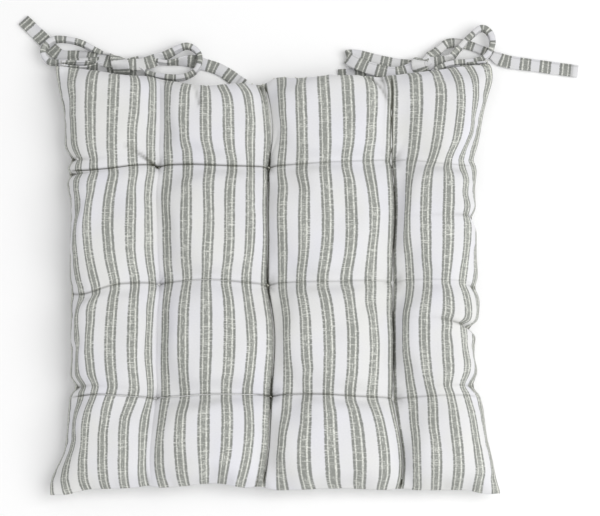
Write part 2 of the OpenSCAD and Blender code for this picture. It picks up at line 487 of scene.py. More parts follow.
class SlubYarn(EffectGroup):
    """Uneven yarn: pale weft slubs that cross a stripe and thin breaks along its warp."""

    name = "slub_yarn"
    inputs = {"Flat": "NodeSocketVector"}
    outputs = {"Fleck": "NodeSocketFloat", "Break": "NodeSocketFloat", "Tone": "NodeSocketFloat"}

    crowd_scale = (55, 38, 1)
    crowd_share = 0.2
    weft_scale = (85, 1350, 1)
    warp_scale = (1600, 150, 3)
    tone_scale = (600, 900, 5)
    fleck_range = (0.675, 0.725)
    break_range = (0.69, 0.76)

    def build(self, wires: Wiring, taken: Socket) -> Masks:
        """Build the masks from stretched noise.

        Args:
            wires: the group's tree.
            taken: the cloth's flat place.

        Returns:
            Masks of the slubs and the breaks, and the yarn's tone.
        """
        flat = taken["Flat"]
        crowd = wires.math("MULTIPLY", wires.noise(flat, self.crowd_scale), self.crowd_share)
        weft = wires.math("ADD", wires.noise(flat, self.weft_scale), crowd)
        warp = wires.math("ADD", wires.noise(flat, self.warp_scale), crowd)
        return {
            "Fleck": wires.ramp(weft, *self.fleck_range),
            "Break": wires.ramp(warp, *self.break_range),
            "Tone": wires.noise(flat, self.tone_scale, 3.0),
        }


class PlainWeave(EffectGroup):
    """The over-and-under of a plain weave, as a height from 0 to 1."""

    name = "plain_weave"
    inputs = {"Flat": "NodeSocketVector", "Threads": "NodeSocketFloat"}
    outputs = {"Height": "NodeSocketFloat"}

    weave_share = 0.3
    fuzz_share = 0.35
    fuzz_scale = (900, 900, 2)

    def build(self, wires: Wiring, taken: Socket) -> Masks:
        """Build the height from two crossed waves, made uneven by noise.

        Args:
            wires: the group's tree.
            taken: the cloth's flat place, and the threads in a metre of it.

        Returns:
            The height.
        """
        turn = wires.math("MULTIPLY", taken["Threads"], math.pi)
        x, y, _ = wires.parts(taken["Flat"])
        warp = wires.math("SINE", wires.math("MULTIPLY", x, turn))
        weft = wires.math("SINE", wires.math("MULTIPLY", y, turn))
        crossed = wires.math("MULTIPLY", warp, weft)
        weave = wires.math("MULTIPLY_ADD", crossed, self.weave_share, self.fuzz_share)
        fuzz = wires.noise(taken["Flat"], self.fuzz_scale, 3.0)
        return {"Height": wires.math("MULTIPLY_ADD", fuzz, self.fuzz_share, weave)}


class FoldShade(EffectGroup):
    """Painted shade: the cloth's colour mixed darker and warmer far down in a fold, where light hardly
    reaches.
    """

    name = "fold_shade"
    inputs = {"Colour": "NodeSocketColor", "Fold": "NodeSocketFloat"}
    outputs = {"Colour": "NodeSocketColor"}

    # Colour of the painted shade at the bottom of a fold.
    painted_shade_colour: Colour = linear(70, 70, 58)

    def build(self, wires: Wiring, taken: Socket) -> Masks:
        """Mix the cloth's colour towards the painted shade colour, by how strong the painted shade is."""
        return {"Colour": wires.mixed(taken["Fold"], taken["Colour"], self.painted_shade_colour)}


# ---------------------------------------------------------------- finishes


def new_material(name: str) -> tuple[bpy.types.Material, Wiring, bpy.types.Node]:
    """Make an empty material.

    Args:
        name: the material's name.

    Returns:
        The material, its wiring and its Principled shader.
    """
    material = bpy.data.materials.new(name)
    material.use_nodes = True
    return material, Wiring(material.node_tree), material.node_tree.nodes["Principled BSDF"]


class Cut(Enum):
    """How a piece was cut from the striped cloth."""

    PANEL = "panel"
    TIE = "tie"


@dataclass(frozen=True)
class StripedCotton:
    """Undyed cotton with a woven grey-green stripe."""

    pitch: float = 20.4 * MM
    phase: float = 0.628
    tie_pitch: float = 18.6 * MM
    ground: Colour = linear(221, 221, 226)
    warm_ground: Colour = linear(222, 222, 220)
    gap: Colour = linear(225, 226, 219)
    line: Colour = linear(136, 138, 134)
    band: Colour = linear(144, 146, 141)
    slub_share: float = 0.78
    tie_slub_share: float = 0.3
    tone: float = 0.935
    # Painted shade: the ties' copy of the same cloth is made darker overall.
    tie_painted_shade_tone: float = 0.85
    threads: float = 1500.0
    relief: float = 0.10 * MM
    patch_scale: Point = (14, 11, 1)
    patch_range: Pair = (0.35, 0.65)
    thin_scale: Point = (450, 800, 2)
    thin_range: Pair = (0.45, 0.62)
    thin_share: float = 0.5
    tone_swing: float = 0.12
    roughness: float = 0.78
    roughness_swing: float = 0.16
    gloss: float = 0.18
    sheen: float = 0.04
    sheen_roughness: float = 0.5

    def material(self, cut: Cut) -> bpy.types.Material:
        """Build the cloth for one cut.

        Args:
            cut: panel or tie; the stripes start elsewhere on a tie, and the tie's copy is darker overall as
                painted shade.

        Returns:
            The material.
        """
        material, wires, shader = new_material(f"striped_cotton_{cut.value}")
        flat = wires.placed("ShaderNodeAttribute", attribute_name="flat").outputs["Vector"]
        # Painted shade in folds, dents, the hem and the stitching, read from the mesh.
        fold = wires.placed("ShaderNodeAttribute", attribute_name="fold").outputs["Fac"]
        pitch, phase = (self.pitch, self.phase) if cut is Cut.PANEL else (self.tie_pitch, 0.5)
        stripe = WovenStripe().place(wires, Flat=flat, Pitch=pitch, Phase=phase)
        slub = SlubYarn().place(wires, Flat=flat)
        patches = wires.ramp(wires.noise(flat, self.patch_scale, 3.0), *self.patch_range)
        ground = wires.mixed(patches, self.ground, self.warm_ground)
        thin = wires.ramp(wires.noise(flat, self.thin_scale, 1.0), *self.thin_range)
        gap = wires.mixed(wires.math("MULTIPLY", thin, self.thin_share), self.gap, self.band)
        colour = wires.mixed(stripe["Field"], ground, gap)
        uneven = self.slub_share if cut is Cut.PANEL else self.tie_slub_share
        slubbed = wires.math("MULTIPLY", slub["Fleck"], uneven)
        broken = wires.math("MULTIPLY", wires.math("MAXIMUM", slub["Break"], slub["Fleck"]), uneven)
        line_share = wires.math("MULTIPLY", stripe["Line"], wires.math("SUBTRACT", 1.0, slubbed))
        band_share = wires.math("MULTIPLY", stripe["Band"], wires.math("SUBTRACT", 1.0, broken))
        colour = wires.mixed(band_share, colour, self.band)
        colour = wires.mixed(line_share, colour, self.line)
        # Painted shade: a darker tone for the ties' copy of the cloth.
        base = self.tone if cut is Cut.PANEL else self.tie_painted_shade_tone
        tone = wires.math("MULTIPLY_ADD", slub["Tone"], self.tone_swing, base)
        colour = wires.tinted(colour, tone)
        # Painted shade mixed into the base colour.
        shaded = FoldShade().place(wires, Colour=colour, Fold=fold)
        wires.feed(shader.inputs["Base Color"], shaded["Colour"])
        roughness = wires.math("MULTIPLY_ADD", slub["Tone"], self.roughness_swing, self.roughness)
        wires.feed(shader.inputs["Roughness"], roughness)
        shader.inputs["Specular IOR Level"].default_value = self.gloss
        shader.inputs["Sheen Weight"].default_value = self.sheen
        shader.inputs["Sheen Roughness"].default_value = self.sheen_roughness
        weave = PlainWeave().place(wires, Flat=flat, Threads=self.threads)
        wires.feed(shader.inputs["Normal"], wires.bump(weave["Height"], self.relief))
        return material


@dataclass(frozen=True)
class SpunThread:
    """Sewing or tufting thread: pale, slightly glossy, with uneven tone along it."""

    name: str
    colour: Colour
    shadow: Colour
    roughness: float = 0.55
    fuzz_scale: Point = (2500, 2500, 2500)
    relief: float = 0.05 * MM

    def material(self) -> bpy.types.Material:
        """Build the thread's material.

        Returns:
            The material.
        """
        material, wires, shader = new_material(self.name)
        place = wires.placed("ShaderNodeTexCoord").outputs["Object"]
        fuzz = wires.noise(place, self.fuzz_scale, 3.0)
        colour = wires.mixed(wires.ramp(fuzz, 0.3, 0.7), self.shadow, self.colour)
        wires.feed(shader.inputs["Base Color"], colour)
        wires.feed(shader.inputs["Roughness"], wires.math("MULTIPLY_ADD", fuzz, 0.2, self.roughness))
        wires.feed(shader.inputs["Normal"], wires.bump(fuzz, self.relief))
        return material


@dataclass(frozen=True)
class FibreFleece:
    """Loose white polyester fibre."""

    colour: Colour = linear(240, 240, 238)
    shadow: Colour = linear(205, 206, 206)
    fibre_scale: Point = (420, 900, 300)
    clump_scale: Point = (60, 60, 60)
    relief: float = 1.0 * MM
    roughness: float = 0.88
    sheen: float = 0.3

    def material(self) -> bpy.types.Material:
        """Build the fleece, with matted fibre as its relief.

        Returns:
            The material.
        """
        material, wires, shader = new_material("polyester_fibre")
        place = wires.placed("ShaderNodeTexCoord").outputs["Object"]
        fibre = wires.noise(place, self.fibre_scale, 6.0)
        clump = wires.noise(place, self.clump_scale, 4.0)
        wires.feed(shader.inputs["Base Color"], wires.mixed(clump, self.shadow, self.colour))
        wires.feed(shader.inputs["Roughness"], wires.math("MULTIPLY_ADD", fibre, 0.1, self.roughness))
        wires.feed(shader.inputs["Normal"], wires.bump(fibre, self.relief))
        shader.inputs["Sheen Weight"].default_value = self.sheen
        return material


@dataclass(frozen=True)
class PaleFloor:
    """A plain, matt, almost white floor."""

    colour: Colour = linear(250, 250, 250)
    cloud_scale: Point = (2, 2, 2)
    roughness: float = 0.85

    def material(self) -> bpy.types.Material:
        """Build the floor's material with a trace of unevenness.

        Returns:
            The material.
        """
        material, wires, shader = new_material("pale_floor")
        place = wires.placed("ShaderNodeTexCoord").outputs["Object"]
        cloudy = wires.noise(place, self.cloud_scale)
        wires.feed(shader.inputs["Base Color"], self.colour + (1.0,))
        wires.feed(shader.inputs["Roughness"], wires.math("MULTIPLY_ADD", cloudy, 0.1, self.roughness))
        return material


# ---------------------------------------------------------------- studio


@dataclass
class Studio:
    """Camera, floor and soft light round the pad."""

    aim: Point = (0.0236, 0.017, 0.02)
    elevation: float = 76.0
    distance: float = 2.4
    view_width: float = 0.54
    sensor: float = 36.0
    floor_size: float = 40.0
    floor_drop: float = 0.2 * MM
    sky: float = 0.68
    key_place: Point = (1.1, -0.35, 1.7)
    key_size: float = 1.8
    key_power: float = 26.0

    def make_camera(self) -> None:
        """Stand the camera in front of the pad, looking down at it."""
        tilt = math.radians(self.elevation)
        back = Vector((0, -math.cos(tilt), math.sin(tilt)))
        data = bpy.data.cameras.new("camera")
        data.sensor_width = self.sensor
        data.lens = self.sensor * self.distance / self.view_width
        data.clip_start = 0.1
        data.clip_end = 100
        camera = bpy.data.objects.new("camera", data)
        camera.location = Vector(self.aim) + back * self.distance
        camera.rotation_euler = back.to_track_quat("Z", "Y").to_euler()
        bpy.context.scene.collection.objects.link(camera)
        bpy.context.scene.camera = camera

    def make_floor(self) -> None:
        """Lay the floor under the pad's lowest point."""
        floor = flat_sheet("floor", self.floor_size, CAD_BOX[0][2] - self.floor_drop)
        floor.data.materials.append(PaleFloor().material())

    def make_lights(self) -> None:
        """Light the pad with an even sky and one large softbox."""
        world = bpy.data.worlds.new("studio")
        world.use_nodes = True
        sky = world.node_tree.nodes["Background"]
        sky.inputs["Color"].default_value = (1, 1, 1, 1)
        sky.inputs["Strength"].default_value = self.sky
        bpy.context.scene.world = world
        data = bpy.data.lights.new("softbox", "AREA")
        data.size = self.key_size
        data.energy = self.key_power
        softbox = bpy.data.objects.new("softbox", data)
        softbox.location = self.key_place
        softbox.rotation_euler = Vector(self.key_place).to_track_quat("Z", "Y").to_euler()
        bpy.context.scene.collection.objects.link(softbox)
        bpy.context.scene.view_settings.view_transform = "Standard"


# ---------------------------------------------------------------- ties

Route = tuple[Point, ...]

# Each tie's centreline, from its root: place from the back corner's ear, and the way its width leans.
LEFT_INNER_ROUTE: Route = (
    (0.002, 0.002, 0.015, 0, 0, 1), (0.024, 0.002, 0.008, 0, 0, 1), (0.042, 0.004, 0.0052, 0, 1, 1),
    (0.057, 0.005, 0.004, 0, 1, 0), (0.072, 0, 0.0055, 0, 1, 1), (0.09, -0.005, 0.0065, 0, 0, 1),
    (0.112, -0.007, 0.0065, 0, 0, 1), (0.127, 0, 0.008, 0, 0, 1), (0.13, 0.014, 0.0095, 0, 0, 1),
    (0.118, 0.023, 0.009, 0, 0, 1), (0.098, 0.014, 0.008, 0, 1, 2), (0.078, 0.006, 0.009, 0, 1, 0),
    (0.057, 0.006, 0.01, 0, 1, 0), (0.04, 0.01, 0.009, 0, 1, 0), (0.018, 0.015, 0.0025, 0, 1, 0),
    (0, 0.017, 0.002, 0, 1, 0), (-0.016, 0.033, 0.002, 1, 1, 0), (-0.034, 0.051, 0.002, 1, 1, 0),
)
LEFT_OUTER_ROUTE: Route = (
    (0.002, 0.0045, 0.015, 0, 0, 1), (0.024, 0.005, 0.007, 0, 1, 2), (0.04, 0.003, 0.002, 0, 1, 0),
    (0.054, 0.005, 0.0014, 1, 1, 0), (0.058, -0.002, 0.004, 1, 0, 0), (0.057, 0.005, 0.013, 1, 0, 0),
    (0.052, 0.013, 0.009, 1, 0, -1), (0.038, 0.017, 0.008, 0, 0, -1), (0.018, 0.027, 0.009, 0, 0, -1),
    (-0.004, 0.029, 0.01, 0, 0, -1), (-0.014, 0.018, 0.01, 0, 0, -1), (-0.008, 0.008, 0.009, 0, 0, -1),
    (0.01, 0.008, 0.008, 0, 0, -1), (0.04, 0.009, 0.0065, 0, -2, -1), (0.057, 0.006, 0.007, 0, -1, 0),
    (0.076, 0.011, 0.0054, 0, -1, -1), (0.1, 0.008, 0.0065, 0, 0, -1), (0.12, 0.01, 0.0052, 0, -1, -1),
    (0.134, 0.008, 0.0016, 0, -1, 0), (0.15, 0.002, 0.0016, 0, -1, 0),
    (0.17, -0.012, 0.0016, -1, -1, 0),
)
RIGHT_INNER_ROUTE: Route = (
    (-0.003, 0.002, 0.015, 0, 0, 1), (-0.022, 0.001, 0.008, 0, 1, 3), (-0.042, 0.002, 0.005, 0, 2, 1),
    (-0.062, 0.005, 0.004, 0, 1, 0), (-0.084, 0.007, 0.003, 0, 1, 0), (-0.104, 0.011, 0.0025, 0, 1, 0),
    (-0.122, 0.016, 0.0025, 0, 1, 0), (-0.132, 0.014, 0.006, 0, 1, 0), (-0.124, 0.007, 0.0095, 0, 1, 0),
    (-0.106, 0, 0.01, 0, 1, 0), (-0.086, -0.003, 0.01, 0, 1, 0), (-0.062, 0.006, 0.0095, 0, 1, 0),
    (-0.05, 0.018, 0.006, -1, 1, 0), (-0.038, 0.028, 0.003, 0, 1, 0), (-0.022, 0.027, 0.002, 0, 1, 0),
    (-0.004, 0.02, 0.002, 0, 1, 0), (0.014, 0.011, 0.002, 0, 1, 0), (0.046, 0.006, 0.002, 0, 1, 0),
    (0.081, 0.001, 0.002, 0, 1, 0),
)
RIGHT_OUTER_ROUTE: Route = (
    (-0.003, 0.0045, 0.015, 0, 0, 1), (-0.022, 0.004, 0.007, 0, 1, 3), (-0.042, 0.004, 0.002, 0, 1, 0),
    (-0.058, 0.005, 0.0014, 1, 1, 0), (-0.062, 0.012, 0.005, 1, 0, 0), (-0.066, 0.005, 0.013, 1, 0, 0),
    (-0.062, -0.0035, 0.008, 1, 0, 0), (-0.054, -0.002, 0.007, 0, 0, 1),
    (-0.044, 0.003, 0.0095, 0, 0, 1), (-0.034, 0.006, 0.0095, 0, 0, 1),
    (-0.016, 0.008, 0.0085, 0, 0, 1), (-0.004, 0.013, 0.0085, 0, 0, 1), (0.002, 0.024, 0.0095, 0, 0, 1),
    (0, 0.035, 0.0095, 0, 0, 1), (-0.008, 0.04, 0.0095, 0, 0, 1), (-0.019, 0.031, 0.01, 0, 0, 1),
    (-0.03, 0.019, 0.0095, 0, 0, 1), (-0.041, 0.009, 0.0075, 0, 1, 1), (-0.062, 0.006, 0.0068, 0, 1, 0),
    (-0.084, 0.002, 0.002, 0, 1, 0), (-0.11, -0.001, 0.0016, 0, 1, 0), (-0.14, -0.003, 0.0016, 0, 1, 0),
)


@dataclass(frozen=True)
class Dressing:
    """A stretch where the strip is rolled up, gathered or spread, by its size there."""

    start: float
    end: float
    width: float
    thickness: float


@dataclass
class Tie:
    """One tie: a folded and stitched strip of the cover's cloth, sewn in at its root."""

    name: str
    body: str
    corner: Pair
    length: float
    route: Route
    width: float = 12 * MM
    thickness: float = 1.6 * MM
    ring_gap: float = 1.8 * MM
    tip_to_stripe: float = 0.0
    dressing: tuple[Dressing, ...] = ()
    hem: float = 5 * MM
    hem_rise: float = 0.35
    dressing_blend: float = 5 * MM
    ripples: Pair = (0.011, 0.0063)
    curls: Pair = (0.034, 0.015)
    width_swing: float = 0.02
    thickness_swing: float = 0.06
    cupped: float = 0.5 * MM
    stitch_line: float = 0.72
    lowest: float = 0.1 * MM

    def rings(self) -> tuple[Array, Array]:
        """Lay the tie's centreline.

        Returns:
            The centreline's points and the width's direction at each.
        """
        rows = np.array(self.route, dtype=float)
        rows[:, :2] += self.corner
        rows[:, 3:] = unit(rows[:, 3:])
        fine = smooth_path(rows, self.ring_gap)
        path = fine[:, :3]
        run = unit(np.gradient(path, axis=0))
        lean = fine[:, 3:]
        across = unit(lean - run * np.sum(lean * run, axis=1, keepdims=True))
        return path, across

    def section(self) -> Array:
        """Shape the strip's section: rounded long edges, and a row of stitching that dents one side.

        Returns:
            Rows of share of width and share of thickness.
        """
        half = [(-1.0, 0.0), (-0.95, 0.75), (-0.8, 1.05), (-0.45, 0.9), (0.0, 0.85),
                (0.4, 0.95), (0.62, 1.0), (self.stitch_line, 0.6), (0.82, 1.1), (0.95, 0.8)]
        return np.array(half + [(-x, -y) for x, y in half])

    def build(self) -> Piece:
        """Sweep the section along the route.

        Returns:
            The tie's mesh.
        """
        path, across = self.rings()
        up = np.cross(unit(np.gradient(path, axis=0)), across)
        walked = walked_along(path)
        from_tip = walked[-1] - walked
        width, thickness = self.sizes(walked)
        phases = np.random.default_rng(sum(map(ord, self.name))).uniform(0, 2 * np.pi, 4)
        waves = [np.sin(walked / wave + phase) for wave, phase in zip((*self.ripples, *self.curls), phases)]
        uneven, curl = waves[0] + 0.6 * waves[1], waves[2] + 0.5 * waves[3]
        half_width = width / 2 * (1 + self.width_swing * uneven)
        hem = 1 + self.hem_rise * np.exp(-(((from_tip - self.hem / 2) / (self.hem / 2)) ** 4))
        half_thickness = thickness / 2 * hem * (1 + self.thickness_swing * uneven)
        half_thickness[-1] *= 0.6
        share_wide, share_tall = self.section().T[:, None]
        wide = share_wide * half_width[:, None]
        tall = share_tall * half_thickness[:, None] + self.cupped * curl[:, None] * (share_wide**2 - 0.4)
        points = path[:, None] + across[:, None] * wide[..., None] + up[:, None] * tall[..., None]
        points[..., 2] = np.maximum(points[..., 2], self.lowest)
        along = np.broadcast_to(from_tip[:, None] - self.tip_to_stripe, wide.shape)
        flat = np.stack([along, wide, np.zeros_like(wide)], axis=-1).reshape(-1, 3)
        # Painted shade along the hem's inner edge and in the stitching's dent.
        hem_line = bell(from_tip - self.hem, 0.5 * MM)[:, None]
        stitching = bell(share_wide - self.stitch_line, 0.06) * np.ones_like(wide)
        fold = np.clip(0.55 * hem_line + 0.25 * stitching, 0, 1).ravel()
        faces = ring_faces(*wide.shape)
        piece = new_piece(f"{self.name}_cloth", points.reshape(-1, 3), faces, flat, fold)
        self.path = path
        return fitted(piece, StripedCotton().material(Cut.TIE), self.body, self.name)

    def sizes(self, walked: Array) -> tuple[Array, Array]:
        """Return the strip's width and thickness at each ring.

        Args:
            walked: distance of each ring from the root.

        Returns:
            Widths and thicknesses.
        """
        width = np.full_like(walked, self.width)
        thickness = np.full_like(walked, self.thickness)
        for part in self.dressing:
            rise = np.clip((walked - part.start) / self.dressing_blend, 0, 1)
            fall = np.clip((part.end - walked) / self.dressing_blend, 0, 1)
            share = np.minimum(rise, fall)
            share = share * share * (3 - 2 * share)
            width += share * (part.width - self.width)
            thickness += share * (part.thickness - self.thickness)
        return width, thickness

    def declare(self, piece: Piece, with_pieces: Sequence[Piece]) -> None:
        """Do nothing: the tie is not declared as anything.

        Args:
            piece: the tie's mesh; not used.
            with_pieces: separate pieces on the tie; not used.
        """


@dataclass
class BarTack:
    """Dense zigzag stitching that holds a pair of ties in the seam."""

    name: str
    body: str
    turns: int = 13
    thread: float = 0.32 * MM
    spread: float = 1.5 * MM
    margin: float = 0.5 * MM
    slant: float = 0.25 * MM

    def build(self) -> Piece:
        """Stitch back and forth across both faces of the pair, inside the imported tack's height.

        Returns:
            The stitching.
        """
        low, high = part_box(self.name)
        middle = (low.x + high.x) / 2
        ends = (low.z + self.margin, high.z - self.margin)
        parts = []
        for side in (-1, 1):
            x = middle + side * self.spread
            zigzag = [
                (x + side * self.slant * (k % 2), high.y if k % 2 else low.y, z)
                for k, z in enumerate(np.linspace(*ends, 2 * self.turns))
            ]
            parts.append(tube(smooth_path(np.array(zigzag), 0.7 * MM), self.thread))
        for z in ends:
            for y in (low.y, high.y):
                wrap = np.array([(middle + off, y, z) for off in (-self.spread, 0, self.spread)])
                parts.append(tube(wrap, self.thread))
        dye = SpunThread("bartack_thread", linear(214, 214, 204), linear(170, 170, 160))
        piece = new_piece(f"{self.name}_stitching", *joined(parts))
        return fitted(piece, dye.material(), self.body, self.name)


@dataclass
class Bow:
    """The pair of ties at one back corner, tied in a bow, with the tack at their root."""

    side: str
    ties: tuple[Tie, Tie]

    def build(self) -> None:
        body = f"{self.side}_bow"
        ties = self.ties
        pieces = [tie.build() for tie in ties]
        tack = BarTack(f"{self.side}_tie_bartack", body).build()
        ties[0].declare(pieces[0], [tack])
        ties[1].declare(pieces[1], [])
        log.info("%s: ties %s and %s, tack %s", body, *(piece.name for piece in pieces), tack.name)


def left_bow() -> Bow:
    """Set out the left bow: teardrop and tail from the inner tie, ring and band from the outer.

    Returns:
        The bow.
    """
    corner = (-0.199, 0.198)
    inner = Tie(
        "left_inner_tie", "left_bow", corner, 0.331, LEFT_INNER_ROUTE, tip_to_stripe=5.5 * MM,
        dressing=(
            Dressing(0.046, 0.070, 9 * MM, 1.6 * MM),
            Dressing(0.078, 0.188, 8.5 * MM, 4.4 * MM),
            Dressing(0.214, 0.236, 9 * MM, 1.6 * MM),
        ),
    )
    outer = Tie(
        "left_outer_tie", "left_bow", corner, 0.356, LEFT_OUTER_ROUTE, tip_to_stripe=15.3 * MM,
        dressing=(
            Dressing(0.055, 0.093, 15.5 * MM, 2.2 * MM),
            Dressing(0.096, 0.222, 8 * MM, 4.6 * MM),
            Dressing(0.236, 0.292, 8 * MM, 3.2 * MM),
        ),
    )
    return Bow("left", (inner, outer))


def right_bow() -> Bow:
    """Set out the right bow: flat loop and tail from the inner tie, teardrop and band from the outer.

    Returns:
        The bow.
    """
    corner = (0.199, 0.198)
    inner = Tie(
        "right_inner_tie", "right_bow", corner, 0.366, RIGHT_INNER_ROUTE, tip_to_stripe=11.7 * MM,
        dressing=(
            Dressing(0.048, 0.074, 9 * MM, 1.6 * MM),
            Dressing(0.198, 0.222, 9 * MM, 1.6 * MM),
            Dressing(0.222, 0.292, 8.5 * MM, 3.6 * MM),
        ),
    )
    outer = Tie(
        "right_outer_tie", "right_bow", corner, 0.328, RIGHT_OUTER_ROUTE, tip_to_stripe=1.9 * MM,
        dressing=(
            Dressing(0.060, 0.094, 14.5 * MM, 2.2 * MM),
            Dressing(0.100, 0.228, 8 * MM, 4.6 * MM),
        ),
    )
    return Bow("right", (inner, outer))


# ---------------------------------------------------------------- cover


class Side(Enum):
    """One edge of the pad, with the way in from it."""

    LEFT = (1.0, 0.0)
    RIGHT = (-1.0, 0.0)
    FRONT = (0.0, 1.0)
    BACK = (0.0, -1.0)


@dataclass
class Relief:
    """What is pressed into one panel, at each point of its flat grid.

    Depths below the smooth cloth are in sink and depths straight down in drop, sideways moves are in shift,
    and fold holds the painted shade, from 0 to 1, that darkens the cloth's colour in folds and dents.
    """

    x: Array
    y: Array
    half: float

    def __post_init__(self) -> None:
        """Start with smooth cloth."""
        self.sink, self.drop, self.fold = (np.zeros_like(self.x) for _ in range(3))
        self.shift = np.zeros((*self.x.shape, 3))


@dataclass(frozen=True)
class Stretches:
    """Where the lines of tufts that cross a crease divide it, on the flat cloth."""

    ends: tuple[float, ...]
    rim_fade: float = 22 * MM

    def at(self, run: Array) -> tuple[Array, Array]:
        """Return the number of each point's stretch and its share of the way along it."""
        number = np.clip(np.searchsorted(self.ends, run) - 1, 0, len(self.ends) - 2)
        return number, (run - np.take(self.ends, number)) / np.take(np.diff(self.ends), number)

    def middles(self) -> list[float]:
        """Return the middle of each stretch."""
        return [(a + b) / 2 for a, b in zip(self.ends, self.ends[1:])]


@dataclass(frozen=True)
class Crease:
    """The fold along one line of tufts, by its four stretches from rim to tuft to tuft to rim."""

    depths: Point
    bows: Point
    width: float
    pinch: float = 0.5
    shade: float = 0.8
    slot: float = 1.1 * MM
    dark: float = 1.0 * MM
    line_share: float = 0.35
    bow_reach: float = 22 * MM
    pinch_depth: float = 4 * MM
    dark_depth: float = 2.4 * MM

    def press(self, relief: Relief, axis: int, place: float, stretches: Stretches, share: float) -> None:
        """Press the fold straight down, bow it and draw the cloth towards it.

        Args:
            relief: the panel's relief.
            axis: 0 for a crease along y, 1 for one along x.
            place: the flat place of its line of tufts.
            stretches: the crease's stretches.
            share: share of the full depth.
        """
        off_axis, run = (relief.x, relief.y) if axis == 0 else (relief.y, relief.x)
        fade = np.clip((relief.half - abs(run)) / stretches.rim_fade, 0, 1)
        stretch, part = stretches.at(run)
        bow = np.take(self.bows, stretch) * np.sin(np.pi * np.clip(part, 0, 1))
        off = off_axis - place - self.line_share * bow
        relief.shift[..., axis] += (1 - self.line_share) * bow * bell(off, self.bow_reach)
        depth = share * fade * np.interp(run, stretches.middles(), self.depths)
        near = np.exp(-abs(off) / self.width)
        relief.drop += depth * (0.5 * near + 0.5 * bell(off, self.slot))
        relief.shift[..., axis] -= self.pinch * off * near * np.clip(depth / self.pinch_depth, 0, 1)
        # Painted shade along the crease's line, darker where the crease sinks further.
        relief.fold += self.shade * np.clip(depth / self.dark_depth, 0, 1) * bell(off, self.dark)


@dataclass(frozen=True)
class Tuft:
    """The dent at one tuft, with small pleats round it and the cloth gathered up under the thread."""

    place: Pair
    number: int
    pleats: int = 7
    pleat_depth: float = 0.7 * MM
    pleat_reach: float = 7 * MM
    gather: float = 2.0 * MM
    gather_reach: float = 6 * MM
    dark_reach: float = 3 * MM

    def press(self, relief: Relief) -> None:
        """Press the dent into a panel's relief.

        Args:
            relief: the panel's relief.
        """
        off_x, off_y = relief.x - self.place[0], relief.y - self.place[1]
        far = np.hypot(off_x, off_y)
        pleats = np.cos(self.pleats * np.arctan2(off_y, off_x) + 1.7 * self.number)
        clear = np.clip(far / self.dark_reach, 0, 1)
        relief.sink += self.pleat_depth * pleats * np.exp(-far / self.pleat_reach) * clear
        relief.sink -= self.gather * bell(far, self.gather_reach)
        # Painted shade in the tuft's dent and between its pleats.
        relief.fold += 0.35 * bell(far, self.dark_reach) * (0.6 + 0.4 * pleats)


@dataclass(frozen=True)
class Pucker:
    """A gather where the cloth is drawn in at the seam."""

    side: Side
    along: float
    depth: float
    reach: float
    width: float = 3.0 * MM
    pull: float = 3.0 * MM
    pull_reach: float = 22 * MM
    dark: float = 1.2 * MM
    full_depth: float = 5 * MM

    def press(self, relief: Relief) -> None:
        """Draw the cloth of a panel in at the rim.

        Args:
            relief: the panel's relief.
        """
        inward = np.array(self.side.value)
        from_edge = relief.half + inward[0] * relief.x + inward[1] * relief.y
        off = (relief.y if inward[0] else relief.x) - self.along
        near = np.exp(-from_edge / self.reach)
        relief.sink += self.depth * near * np.exp(-abs(off) / self.width)
        draw = self.pull * bell(off, 3 * self.width) * np.exp(-from_edge / self.pull_reach)
        relief.shift[..., :2] += inward * draw[..., None]
        # Painted shade in the pucker's fold at the rim.
        relief.fold += 0.9 * near * bell(off, self.dark) * np.clip(self.depth / self.full_depth, 0, 1)


@dataclass(frozen=True)
class Wrinkle:
    """A short soft fold between two places on the flat cloth."""

    start: Pair
    end: Pair
    depth: float = 1.2 * MM
    width: float = 2.2 * MM
    shade: float = 0.0
    dark: float = 1.7 * MM
    end_reach: float = 3 * MM

    def press(self, relief: Relief) -> None:
        """Press the fold into a panel, shallower towards its far end.

        Args:
            relief: the panel's relief.
        """
        start = np.array(self.start)
        run = self.end - start
        length = np.linalg.norm(run)
        run = run / length
        off_x, off_y = relief.x - start[0], relief.y - start[1]
        along = off_x * run[0] + off_y * run[1]
        off = abs(off_x * run[1] - off_y * run[0])
        part = np.clip(along / length, 0, 1)
        fade = (1 - 0.8 * part) * bell(abs(along - part * length), self.end_reach)
        relief.sink += self.depth * fade * np.exp(-off / self.width)
        # Painted shade along the wrinkle, as strong as its shade value.
        relief.fold += self.shade * fade * bell(off, self.dark)


@dataclass(frozen=True)
class Drag:
    """A stretch of cloth that lies pulled to one side, with its middle and reach on the flat cloth."""

    middle: Pair
    reach: Pair
    along_x: float
    along_y: float = 0.0

    def press(self, relief: Relief) -> None:
        """Pull the stretch of a panel aside.

        Args:
            relief: the panel's relief.
        """
        far_x = (relief.x - self.middle[0]) / self.reach[0]
        far_y = (relief.y - self.middle[1]) / self.reach[1]
        relief.shift += np.exp(-(far_x**2 + far_y**2))[..., None] * (self.along_x, self.along_y, 0)


@dataclass
class Shape:
    """One panel's grid: places, normals, flat places and the painted shade in its folds."""

    place: Array
    normal: Array
    flat: Array
    fold: Array


